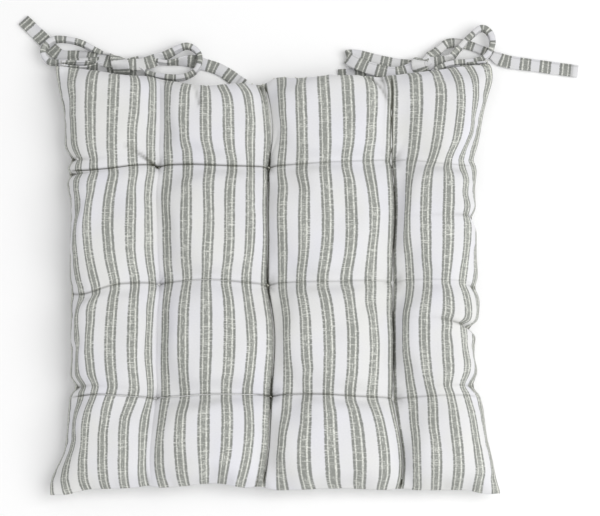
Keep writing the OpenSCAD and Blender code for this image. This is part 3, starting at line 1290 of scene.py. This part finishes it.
@dataclass
class Cover:
    """The striped cover: two square panels sewn at the rim, blown up and pulled in at nine tufts."""

    flat_size: float = 452 * MM
    cells: int = 90
    tuft_columns: Point = (-0.118, -0.0006, 0.1218)
    tuft_rows: Point = (-0.119, -0.006, 0.113)
    start_gap: float = 4 * MM
    start_reach: float = 20 * MM
    start_noise: float = 0.2 * MM
    line_reach: float = 14 * MM
    pressure: float = 5.0
    frames: int = 40
    table_drop: float = 20 * MM
    lines: int = 217
    cloth_thickness: float = 0.8 * MM
    seam_height: float = 20 * MM
    height: float = 49 * MM
    flatness: float = 2.1
    left_fall: float = 7 * MM
    left_fall_place: float = 0.21
    left_fall_reach: float = 0.07
    corner_reach: float = 0.199
    shear: Pair = (-3.6 * MM, -3.3 * MM)
    stretch: Pair = (0.0335, 0.0705)
    rim_step: float = 7 * MM
    bottom_depth: float = 0.45
    bottom_slip: float = 0.013
    lump_cells: int = 31
    lump: float = 0.35 * MM
    ripple: float = 0.4 * MM
    ripple_waves: Point = (0.031, 0.019, 0.012)
    crowding: float = 2.2
    outline_reach: float = 42 * MM
    outline: tuple[tuple[Side, tuple[Pair, ...]], ...] = (
        (Side.LEFT, (
            (-0.199, -0.196), (-0.185, -0.196), (-0.172, -0.191), (-0.161, -0.186), (-0.135, -0.183),
            (-0.108, -0.180), (-0.100, -0.177), (-0.092, -0.180), (-0.058, -0.181), (0.0, -0.182),
            (0.043, -0.183), (0.080, -0.185), (0.118, -0.187), (0.160, -0.194), (0.198, -0.200),
        )),
        (Side.RIGHT, (
            (-0.199, 0.201), (-0.170, 0.195), (-0.146, 0.189), (-0.119, 0.186), (-0.109, 0.183),
            (-0.101, 0.177), (-0.088, 0.181), (-0.075, 0.179), (-0.058, 0.181), (0.0, 0.182), (0.043, 0.182),
            (0.080, 0.183), (0.103, 0.183), (0.110, 0.181), (0.118, 0.184), (0.130, 0.187), (0.150, 0.191),
            (0.170, 0.196), (0.182, 0.200), (0.194, 0.199), (0.202, 0.195),
        )),
        (Side.FRONT, (
            (-0.196, -0.198), (-0.180, -0.198), (-0.164, -0.193), (-0.112, -0.191), (-0.045, -0.190),
            (-0.008, -0.191), (0.0, -0.193), (0.098, -0.193), (0.172, -0.193), (0.186, -0.197),
            (0.200, -0.196),
        )),
        (Side.BACK, (
            (-0.200, 0.197), (-0.160, 0.194), (-0.118, 0.189), (-0.091, 0.182), (-0.054, 0.179),
            (-0.012, 0.180), (0.004, 0.185), (0.060, 0.187), (0.097, 0.188), (0.134, 0.192), (0.165, 0.198),
            (0.199, 0.200),
        )),
    )
    column_creases: tuple[Crease, ...] = (
        Crease((0.8 * MM, 1.5 * MM, 1.2 * MM, 0.8 * MM), (0, 0, 0, 0), 3.0 * MM, 0.2, 0.1),
        Crease(
            (6.0 * MM, 6.5 * MM, 6.5 * MM, 5.5 * MM), (2 * MM, 2 * MM, -2 * MM, 4 * MM),
            3.2 * MM, 0.3, 1.0, dark=1.2 * MM,
        ),
        Crease(
            (6.0 * MM, 6.5 * MM, 6.5 * MM, 3.0 * MM), (2 * MM, 4 * MM, 4 * MM, -3 * MM),
            3.2 * MM, 0.3, 1.0, dark=1.2 * MM,
        ),
    )
    row_creases: tuple[Crease, ...] = (
        Crease((2.8 * MM, 3.2 * MM, 2.2 * MM, 0.9 * MM), (0, 0, 0, 0), 2.6 * MM, 0.3, 0.7),
        Crease((2.2 * MM, 2.6 * MM, 1.4 * MM, 0.7 * MM), (0, 0, 0, 0), 2.6 * MM, 0.3, 0.5),
        Crease((3.6 * MM, 3.6 * MM, 1.0 * MM, 0.7 * MM), (0, -1 * MM, 0, 0), 2.6 * MM, 0.3, 0.8),
    )
    puckers: tuple[Pucker, ...] = (
        Pucker(Side.LEFT, 0.126, 6 * MM, 20 * MM, 2.2 * MM, 8 * MM),
        Pucker(Side.LEFT, 0.112, 6 * MM, 24 * MM, 2.2 * MM, 5 * MM),
        Pucker(Side.LEFT, -0.006, 3 * MM, 22 * MM),
        Pucker(Side.LEFT, -0.111, 5 * MM, 20 * MM, 2.4 * MM, 5 * MM),
        Pucker(Side.RIGHT, 0.055, 6 * MM, 24 * MM, 2.4 * MM, 5 * MM),
        Pucker(Side.RIGHT, -0.008, 4 * MM, 12 * MM, 2.4 * MM, 4 * MM),
        Pucker(Side.RIGHT, -0.046, 8 * MM, 30 * MM, 2.4 * MM, 8 * MM),
        Pucker(Side.RIGHT, -0.110, 3.5 * MM, 22 * MM),
        Pucker(Side.BACK, -0.004, 5 * MM, 30 * MM, 3 * MM, 3 * MM),
        Pucker(Side.BACK, 0.112, 4 * MM, 35 * MM, 3 * MM, 2 * MM),
        Pucker(Side.BACK, -0.110, 2.5 * MM, 20 * MM, 3 * MM, 2 * MM),
        Pucker(Side.FRONT, -0.006, 4 * MM, 30 * MM, 3 * MM, 2.5 * MM),
        Pucker(Side.FRONT, 0.120, 4 * MM, 30 * MM, 3 * MM, 2.5 * MM),
        Pucker(Side.FRONT, -0.120, 2 * MM, 20 * MM, 3 * MM, 1.5 * MM),
    )
    wrinkles: tuple[Wrinkle, ...] = (
        Wrinkle((-0.118, 0.114), (-0.152, 0.134), 3.0 * MM, 2.4 * MM, 1.0),
        Wrinkle((-0.070, 0.180), (-0.075, 0.205), 2.4 * MM, 2.4 * MM, 0.5),
        Wrinkle((-0.001, 0.113), (0.010, 0.150), 2.4 * MM, 2.5 * MM, 0.25),
        Wrinkle((0.101, 0.220), (0.120, 0.165), 3.5 * MM, 2.5 * MM, 0.7),
        Wrinkle((0.122, 0.113), (0.136, 0.150), 1.6 * MM, 2.5 * MM),
        Wrinkle((-0.001, -0.006), (0.016, 0.004), 1.2 * MM, 1.6 * MM),
        Wrinkle((-0.001, -0.006), (0.012, -0.018), 1.2 * MM, 1.6 * MM),
        Wrinkle((-0.116, -0.006), (-0.128, 0.006), 1.0 * MM, 1.6 * MM),
        Wrinkle((-0.116, -0.119), (-0.132, -0.130), 1.2 * MM, 1.8 * MM),
        Wrinkle((0.122, -0.119), (0.140, -0.132), 1.2 * MM, 1.8 * MM),
        Wrinkle((0.212, -0.050), (0.178, -0.046), 4.0 * MM, 2.5 * MM, 0.9),
    )
    drags: tuple[Drag, ...] = (
        Drag((0.115, -0.226), (0.080, 0.070), 13 * MM),
        Drag((-0.120, -0.226), (0.050, 0.060), -5 * MM),
        Drag((-0.030, 0.226), (0.080, 0.045), -6 * MM),
        Drag((-0.045, 0.113), (0.035, 0.025), 6 * MM),
        Drag((0.025, 0.113), (0.025, 0.025), -5 * MM),
        Drag((0.045, -0.006), (0.045, 0.030), -7 * MM),
        Drag((0.160, 0.175), (0.050, 0.075), 11 * MM),
        Drag((0.122, 0.113), (0.030, 0.022), 0.0, 3 * MM),
        Drag((-0.190, 0.053), (0.060, 0.045), -9 * MM),
        Drag((-0.190, -0.062), (0.060, 0.040), -4 * MM),
        Drag((-0.075, 0.053), (0.030, 0.040), 4 * MM),
        Drag((-0.145, -0.006), (0.035, 0.022), 5 * MM),
        Drag((-0.145, 0.113), (0.030, 0.022), 3 * MM),
        Drag((-0.190, 0.113), (0.045, 0.028), 0.0, -8 * MM),
        Drag((-0.200, -0.006), (0.030, 0.028), 0.0, -9 * MM),
        Drag((0.122, 0.055), (0.030, 0.080), 1.5 * MM),
        Drag((0.122, -0.006), (0.030, 0.025), 3 * MM),
        Drag((0.200, -0.036), (0.025, 0.012), 0.0, -6 * MM),
        Drag((-0.140, -0.119), (0.022, 0.025), 7 * MM),
        Drag((-0.060, -0.060), (0.060, 0.060), 2.5 * MM),
        Drag((0.020, -0.205), (0.045, 0.050), -6 * MM),
    )

    def grid(self) -> Array:
        """Return the flat places of the simulation's grid lines."""
        return np.linspace(-self.flat_size / 2, self.flat_size / 2, self.cells + 1)

    def tuft_lines(self, values: Point) -> list[int]:
        """Return the number of the grid line nearest to each value."""
        return [round((value + self.flat_size / 2) / self.flat_size * self.cells) for value in values]

    def tuft_grid(self) -> tuple[list[float], list[float]]:
        """Place the lines of tufts on the simulation's grid.

        Returns:
            The flat x of the columns and the flat y of the rows.
        """
        line = self.grid()
        tufts = (self.tuft_columns, self.tuft_rows)
        return tuple([line[i] for i in self.tuft_lines(values)] for values in tufts)

    def distances(self) -> tuple[Array, ...]:
        """Measure the simulation's grid.

        Returns:
            The flat x and y of each point, and how far it is from a column and a row of tufts.
        """
        flat = np.meshgrid(self.grid(), self.grid(), indexing="ij")
        pairs = zip(flat, self.tuft_grid())
        return *flat, *(np.min([abs(places - at) for at in tufts], axis=0) for places, tufts in pairs)

    def simulate(self) -> tuple[Array, Array]:
        """Blow the sewn and tufted panels up with Blender's cloth.

        Returns:
            The top's and the bottom's grid of places.
        """
        cloth, upper, lower = self.blank()
        table = flat_sheet("table", 2 * self.flat_size, -self.table_drop)
        table.modifiers.new("Collision", "COLLISION")
        table.collision.thickness_outer = 0.001
        table.collision.cloth_friction = 2
        self.set_cloth(cloth.modifiers.new("Cloth", "CLOTH"))
        scene = bpy.context.scene
        for number in range(1, self.frames + 1):
            scene.frame_set(number)
        done = cloth.evaluated_get(bpy.context.evaluated_depsgraph_get()).data
        places = np.zeros(len(done.vertices) * 3)
        done.vertices.foreach_get("co", places)
        places = places.reshape(-1, 3)
        for spent in (cloth, table):
            bpy.data.objects.remove(spent)
        scene.frame_set(1)
        return places[upper], places[lower]

    def blank(self) -> tuple[Piece, Array, Array]:
        """Make the two flat panels, sewn at the rim and at the tufts, with the share of the filling's push.

        Returns:
            The blank, and the vertex numbers of its upper and lower panel's grid.
        """
        count = self.cells + 1
        x, y, to_column, to_row = self.distances()
        sewn = np.zeros((count, count), dtype=bool)
        sewn[0] = sewn[-1] = True
        sewn[:, 0] = sewn[:, -1] = True
        sewn[np.ix_(self.tuft_lines(self.tuft_columns), self.tuft_lines(self.tuft_rows))] = True
        upper = np.arange(count * count).reshape(count, count)
        lower = upper.copy()
        lower[~sewn] = count * count + np.arange((~sewn).sum())
        to_edge = self.flat_size / 2 - np.maximum(abs(x), abs(y))
        near_edge = np.clip(to_edge / (self.flat_size / 8), 0, 1)
        lift = self.start_gap * near_edge * np.clip(np.hypot(to_column, to_row) / self.start_reach, 0, 1)
        points = np.zeros((lower.max() + 1, 3))
        points[upper.ravel()] = np.stack([x, y, lift], axis=-1).reshape(-1, 3)
        points[lower[~sewn]] = np.stack([x, y, -lift], axis=-1)[~sewn]
        points += np.random.default_rng(3).normal(0, self.start_noise, points.shape)
        cloth = new_piece("cover_blank", points, np.concatenate([quads_of(upper), quads_of(lower)[:, ::-1]]))
        push = 1 - bell(np.minimum(to_column, to_row), self.line_reach)
        group = cloth.vertex_groups.new(name="fill")
        for sheet in (upper, lower):
            for index, weight in zip(sheet.ravel().tolist(), push.ravel().tolist()):
                group.add([index], weight, "REPLACE")
        return cloth, upper, lower

    def set_cloth(self, modifier: bpy.types.ClothModifier) -> None:
        """Give the cloth its stiffness, damping and filling pressure.

        Args:
            modifier: the cover blank's Cloth modifier.
        """
        modifier.point_cache.frame_end = self.frames + 1
        settings = modifier.settings
        values = {
            "quality": 6, "mass": 0.15, "air_damping": 1.0,
            "tension_stiffness": 60, "compression_stiffness": 20,
            "shear_stiffness": 15, "bending_stiffness": 0.08,
            "tension_damping": 8, "compression_damping": 8, "shear_damping": 8, "bending_damping": 0.8,
            "use_pressure": True, "uniform_pressure_force": self.pressure, "vertex_group_pressure": "fill",
        }
        for key, value in values.items():
            setattr(settings, key, value)
        settings.effector_weights.gravity = 0
        modifier.collision_settings.use_collision = True
        modifier.collision_settings.distance_min = 0.001
        modifier.collision_settings.use_self_collision = False

    def seated(self, upper: Array, lower: Array) -> None:
        """Bring the simulated heights to the pad's own, with the rim at the seam's height.

        Args:
            upper: the top's places, changed in place.
            lower: the bottom's places, changed in place.
        """
        rim = np.concatenate([upper[0, :, 2], upper[-1, :, 2], upper[:, 0, 2], upper[:, -1, 2]]).mean()
        top = self.height - self.seam_height
        above = top / (upper[..., 2].max() - rim)
        below = self.seam_height / (rim - lower[..., 2].min())
        log.info("simulated rim %.1f mm, shares above %.2f, below %.2f", rim / MM, above, below)
        fall = self.left_fall * bell(self.grid()[:, None] + self.left_fall_place, self.left_fall_reach)
        for places in (upper, lower):
            rise = places[..., 2] - rim
            share = np.clip(rise * above / top, 0, 1)
            flattened = top * (1 - (1 - share) ** self.flatness) - share * fall
            places[..., 2] = self.seam_height + np.where(rise > 0, flattened, rise * below)

    def relaxed(self, places: Array) -> Array:
        """Take the small frills out of a simulated panel, mostly along the tuft lines and the rim.

        Args:
            places: the panel's simulated places.

        Returns:
            The calmer places.
        """
        x, y, to_column, to_row = self.distances()
        half = self.flat_size / 2
        held = 1 - bell(np.hypot(to_column, to_row), 9 * MM)
        calm = blurred(blurred(places, 0, 1.0), 1, 1.0)
        for axis, to_line, to_side in ((1, to_column, half - abs(x)), (0, to_row, half - abs(y))):
            near = np.maximum(bell(to_line, 24 * MM), bell(to_side, 22 * MM))
            share = (near * held)[..., None]
            calm = calm + share * (blurred(calm, axis, 3.5) - calm)
        return calm

    def warped(self, places: Array) -> None:
        """Skew the plan a little, as a hand-filled pad is: the right half sits further back.

        Args:
            places: places, changed in place.
        """
        x, y = places[..., 0].copy(), places[..., 1].copy()
        u, v = x / self.corner_reach, y / self.corner_reach
        inside_x, inside_y = 1 - np.clip(u, -1, 1) ** 2, 1 - np.clip(v, -1, 1) ** 2
        places[..., 0] += inside_x * (self.shear[0] + self.stretch[0] * x)
        places[..., 1] += inside_y * (self.shear[1] + self.stretch[1] * y)
        back, front = (np.clip((way * y - 0.1) / 0.09, 0, 1) ** 2 for way in (1, -1))
        step = inside_x * self.rim_step
        places[..., 1] += back * (0.5 * MM + 2 * MM * u + step * np.tanh((x + 0.003) / 0.008))
        places[..., 1] += front * (1.5 * MM + 1.5 * MM * u - step)

    def stops(self) -> tuple[Array, ...]:
        """Space the final mesh's lines, closer at the creases and the rim.

        Returns:
            The lines' flat x and y.
        """
        both = []
        for creases in self.tuft_grid():
            fine = np.linspace(-self.flat_size / 2, self.flat_size / 2, 8001)
            density = 1 + 1.2 * bell(self.flat_size / 2 - abs(fine), 6 * MM)
            for crease in creases:
                density += self.crowding * np.exp(-(((fine - crease) / (7 * MM)) ** 4))
            walked = np.concatenate([[0], np.cumsum(density[1:] + density[:-1])])
            lines = np.interp(np.linspace(0, walked[-1], self.lines), walked, fine)
            for crease in creases:
                lines[np.argmin(abs(lines - crease))] = crease
            both.append(lines)
        return tuple(both)

    def spline(self, stops: Array, count: int) -> Array:
        """Return the matrix that reads smooth values at the stops from evenly spaced ones.

        Args:
            stops: flat places of the lines to read at.
            count: how many evenly spaced values there are.

        Returns:
            One row of weights for each stop.
        """
        where = (stops / self.flat_size + 0.5) * (count - 1)
        cell = np.clip(np.floor(where).astype(int), 0, count - 2)
        t = where - cell
        weights = np.stack([
            -0.5 * t + t**2 - 0.5 * t**3, 1 - 2.5 * t**2 + 1.5 * t**3,
            0.5 * t + 2 * t**2 - 1.5 * t**3, -0.5 * t**2 + 0.5 * t**3,
        ], axis=1)
        matrix = np.zeros((len(stops), count + 2))
        rows = np.arange(len(stops))
        for k in range(4):
            matrix[rows, cell + k] += weights[:, k]
        matrix[:, 1] += 2 * matrix[:, 0]
        matrix[:, 2] -= matrix[:, 0]
        matrix[:, -2] += 2 * matrix[:, -1]
        matrix[:, -3] -= matrix[:, -1]
        return matrix[:, 1:-1]

    def normals(self, places: Array, sign: float) -> Array:
        """Return the outward normals of a grid of places; sign is 1 on the top, -1 on the bottom."""
        return sign * unit(np.cross(np.gradient(places, axis=0), np.gradient(places, axis=1)))

    def shaped(self, places: Array, sign: float) -> Shape:
        """Refine one simulated panel and press its creases, tufts, puckers and wrinkles in.

        Args:
            places: the panel's simulated places.
            sign: 1 for the top, -1 for the bottom.

        Returns:
            The panel's shape.
        """
        along_x, along_y = self.stops()
        across, up = self.spline(along_x, len(places)), self.spline(along_y, len(places))
        calm = self.relaxed(places)
        smooth = blurred(blurred(calm, 0, 3.0), 1, 3.0)
        fine, broad = (
            np.einsum("ia,abk,jb->ijk", across, part, up, optimize=True) for part in (calm, smooth)
        )
        x, y = np.meshgrid(along_x, along_y, indexing="ij")
        relief = Relief(x, y, self.flat_size / 2)
        self.press_creases(relief, 1.0 if sign > 0 else self.bottom_depth)
        columns, rows = self.tuft_grid()
        tufts = (Tuft(place, number) for number, place in enumerate((i, j) for j in rows for i in columns))
        for detail in (*tufts, *self.puckers, *self.wrinkles, *self.drags):
            detail.press(relief)
        relief.sink += self.unevenness(relief, sign)
        edge = self.flat_size / 2 - np.maximum(abs(x), abs(y))
        relief.sink *= np.clip(edge / (5 * MM), 0, 1)
        fine = fine + relief.shift - self.normals(broad, sign) * relief.sink[..., None]
        fine[..., 2] -= sign * relief.drop
        self.warped(fine)
        flat = np.stack([x, y + (self.bottom_slip if sign < 0 else 0), np.zeros_like(x)], axis=-1)
        return Shape(fine, self.normals(fine, sign), flat, np.clip(relief.fold, 0, 1))

    def press_creases(self, relief: Relief, share: float) -> None:
        """Press the fold along each line of tufts.

        Args:
            relief: the panel's relief.
            share: share of the full depth.
        """
        half = self.flat_size / 2
        tufts = self.tuft_grid()
        for axis, creases in enumerate((self.column_creases, self.row_creases)):
            stretches = Stretches((-half, *tufts[1 - axis], half))
            for crease, place in zip(creases, tufts[axis]):
                crease.press(relief, axis, place, stretches, share)

    def unevenness(self, relief: Relief, sign: float) -> Array:
        """Return a small seeded unevenness: soft lumps all over and ripples at the seam.

        Args:
            relief: the panel's relief, for its flat places.
            sign: 1 for the top, -1 for the bottom.

        Returns:
            Depth at each point.
        """
        x, y = relief.x, relief.y
        draw = np.random.default_rng(5 if sign > 0 else 6)
        lumps = draw.normal(0, 1, (self.lump_cells, self.lump_cells))
        coarse_x, coarse_y = (self.spline(line, self.lump_cells) for line in (x[:, 0], y[0]))
        depth = self.lump * (coarse_x @ lumps @ coarse_y.T)
        for along, from_edge in ((y, relief.half - abs(x)), (x, relief.half - abs(y))):
            ripple = sum(
                np.sin(2 * np.pi * along / wave + draw.uniform(0, 2 * np.pi)) for wave in self.ripple_waves
            )
            depth += self.ripple * ripple * np.exp(-from_edge / (12 * MM))
        return depth

    def panel(self, name: str, node: str, shape: Shape, sign: float) -> None:
        """Make one panel as a thin closed shell.

        Args:
            name: the piece's name.
            node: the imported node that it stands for.
            shape: the panel's shape.
            sign: 1 for the top, -1 for the bottom.
        """
        edge = self.flat_size / 2 - np.max(abs(shape.flat[..., :2]), axis=-1)
        thick = self.cloth_thickness * np.clip(edge / (4 * MM), 0.3, 1)
        points, faces = shell(shape.place, shape.place - shape.normal * thick[..., None])
        if sign < 0:
            faces = faces[:, ::-1]
        flat = np.tile(shape.flat.reshape(-1, 3), (2, 1))
        piece = new_piece(name, points, faces, flat, np.tile(shape.fold.ravel(), 2))
        fitted(piece, bpy.data.materials["striped_cotton_panel"], "pad", node)

    def build(self) -> None:
        """Simulate the cover, refine it and make its two panels."""
        upper, lower = self.simulate()
        self.seated(upper, lower)
        self.top, self.bottom = self.shaped(upper, 1), self.shaped(lower, -1)
        self.fit_outline()
        self.settle()
        self.top.normal = self.normals(self.top.place, 1)
        self.bottom.normal = self.normals(self.bottom.place, -1)
        StripedCotton().material(Cut.PANEL)
        self.panel("top_cover", "top_panel", self.top, 1)
        coarse = Shape(*(part[::2, ::2] for part in vars(self.bottom).values()))
        self.panel("bottom_cover", "bottom_panel", coarse, -1)
        log.info("cover: top_cover and bottom_cover")

    def fit_outline(self) -> None:
        """Bring the rim to the pad's outline and let the change fade out towards the middle."""
        half = self.flat_size / 2
        for side, corners in self.outline:
            axis = 0 if side.value[0] else 1
            last = side in (Side.RIGHT, Side.BACK)
            edge = [slice(None), slice(None)]
            edge[axis] = -1 if last else 0
            rim = self.top.place[tuple(edge)]
            along, across = np.array(corners).T
            target = blurred(np.interp(rim[:, 1 - axis], along, across), 0, 1.6)
            move = target - blurred(rim[:, axis], 0, 7.0)
            flat = self.top.flat[..., axis]
            share = bell(half - flat if last else half + flat, self.outline_reach)
            for shape in (self.top, self.bottom):
                shape.place[..., axis] += share * (move[None, :] if axis == 0 else move[:, None])

    def settle(self) -> None:
        """Share the rim between the panels and keep the bottom on the surface it lies on."""
        for side in (np.s_[0, :], np.s_[-1, :], np.s_[:, 0], np.s_[:, -1]):
            middle = (self.top.place[side] + self.bottom.place[side]) / 2
            self.top.place[side] = self.bottom.place[side] = middle
        self.bottom.place[..., 2] = np.maximum(self.bottom.place[..., 2], 0)

    def tuft_places(self) -> list[tuple[Array, Array]]:
        """Find the tufts on the finished cover.

        Returns:
            The top's and the bottom's place at each, row by row from the front.
        """
        lines_and_tufts = zip(self.stops(), self.tuft_grid())
        columns, rows = ([np.argmin(abs(lines - at)) for at in tufts] for lines, tufts in lines_and_tufts)
        return [(self.top.place[i, j], self.bottom.place[i, j]) for j in rows for i in columns]


# ---------------------------------------------------------------- filling and thread


@dataclass
class Filling:
    """The loose fibre inside the cover."""

    cover: Cover
    gap: float = 2.2 * MM
    least: float = 0.6 * MM
    step: int = 4
    inset: int = 2

    def build(self) -> None:
        """Make a closed body a little inside the two panels."""
        keep = np.s_[self.inset * self.step:-self.inset * self.step:self.step]
        panels = (self.cover.top, self.cover.bottom)
        upper, lower = ((panel.place - panel.normal * self.gap)[keep, keep] for panel in panels)
        lower[..., 2] = np.minimum(lower[..., 2], upper[..., 2] - self.least)
        piece = new_piece("fibre_fill", *shell(upper, lower))
        fitted(piece, FibreFleece().material(), "pad", "fibre_filling")
        log.info("filling: %s", piece.name)


@dataclass
class Seams:
    """The thread of the edge seam and the hand stitches that close the filling opening."""

    cover: Cover
    thread: float = 0.4 * MM
    hand_thread: float = 0.36 * MM
    stitch: float = 2.5 * MM
    sunk: float = 0.9 * MM
    wave: float = 0.25 * MM
    closing_length: float = 120 * MM
    closing_count: int = 13
    back_half: float = 0.15

    def rim_frame(self) -> tuple[Array, Array]:
        """Walk round the rim in even steps.

        Returns:
            The points and the outward direction at each.
        """
        loop = rim_of(self.cover.top.place)
        loop = np.vstack([loop, loop[:1]])
        walked = walked_along(loop)
        count = round(walked[-1] / self.stitch) * 3
        points = read_at(np.linspace(0, walked[-1], count, endpoint=False), walked, loop)
        run = unit(np.roll(points, -1, axis=0) - np.roll(points, 1, axis=0))
        return points, unit(np.cross(run, (0.0, 0.0, 1.0)))

    def build(self) -> None:
        """Make both kinds of stitching."""
        points, outward = self.rim_frame()
        wave = np.cos(2 * np.pi * np.arange(len(points)) / 3)[:, None]
        line = points - outward * (self.sunk - self.wave * wave)
        seam = new_piece("edge_stitching", *tube(line, self.thread, closed=True))
        dye = SpunThread("seam_thread", linear(222, 222, 212), linear(182, 182, 172))
        fitted(seam, dye.material(), "pad", "edge_seam_thread")
        front = np.where(points[:, 1] > self.back_half, 0, 1)
        stitches = []
        for x in np.linspace(-0.5, 0.5, self.closing_count) * self.closing_length:
            at = np.argmin(abs(points[:, 0] - x) + front)
            stitches.append(self.ladder(points[at], outward[at]))
        closing = new_piece("closing_stitching", *joined(stitches))
        dye = SpunThread("hand_thread", linear(226, 226, 216), linear(186, 186, 176))
        fitted(closing, dye.material(), "pad", "closing_stitches")
        log.info("seams: %s and %s", seam.name, closing.name)

    def ladder(self, place: Array, outward: Array) -> Mesh:
        """Make one slanted stitch over the seam at a place on the rim.

        Args:
            place: the stitch's place on the rim.
            outward: the way out of the pad there.

        Returns:
            Vertex places and faces.
        """
        slant = np.array((-outward[1] * 0.6 * MM, outward[0] * 0.6 * MM, 1.7 * MM))
        angle = np.linspace(-1.2, 1.2, 9)[:, None]
        arc = place + outward * (1.5 * MM * np.cos(angle) - 1.0 * MM) + slant * np.sin(angle)
        return tube(arc, self.hand_thread)


@dataclass
class Tufts:
    """Nine threads that are tied through the pad and draw it in."""

    cover: Cover
    bar: float = 2.4 * MM
    thread: float = 0.5 * MM
    stand: float = 0.6 * MM
    dip: float = 1.2 * MM
    ring_gap: float = 0.6 * MM
    pitch: float = 3 * MM

    def build(self) -> None:
        """Tie one looped thread at each tuft."""
        finish = SpunThread("tufting_thread", linear(232, 232, 220), linear(196, 196, 182)).material()
        for number, (upper, lower) in enumerate(self.cover.tuft_places(), start=1):
            angle = 0.5 * math.sin(2.1 * number)
            run = np.array((math.cos(angle), math.sin(angle), 0.0)) * self.bar / 2
            top = np.array((0.0, 0.0, self.stand)) + upper
            low = np.array((0.0, 0.0, -self.stand)) + lower
            drop = np.array((0.0, 0.0, self.dip))
            corners = [top, top + run * 0.8 - drop * 0.2, top + run - drop, low + run * 0.6 + drop,
                       low, low - run * 0.6 + drop, top - run - drop, top - run * 0.8 - drop * 0.2]
            loop = smooth_path(np.array([*corners, corners[0]]), self.ring_gap)[:-1]
            piece = new_piece(f"tuft_stitch_{number}", *twisted_loop(loop, self.thread, self.pitch))
            fitted(piece, finish, "pad", f"tuft_thread_{number}")
        log.info("tufts: nine stitches")


def main() -> None:
    """Build the studio, the two bows and the pad, in that order."""
    studio = Studio()
    studio.make_camera()
    left_bow().build()
    right_bow().build()
    cover = Cover()
    cover.build()
    Filling(cover).build()
    Seams(cover).build()
    Tufts(cover).build()
    studio.make_floor()
    studio.make_lights()


if __name__ == "__main__":
    logging.basicConfig(level=logging.INFO, format="%(name)s: %(message)s", stream=sys.stdout)
    main()
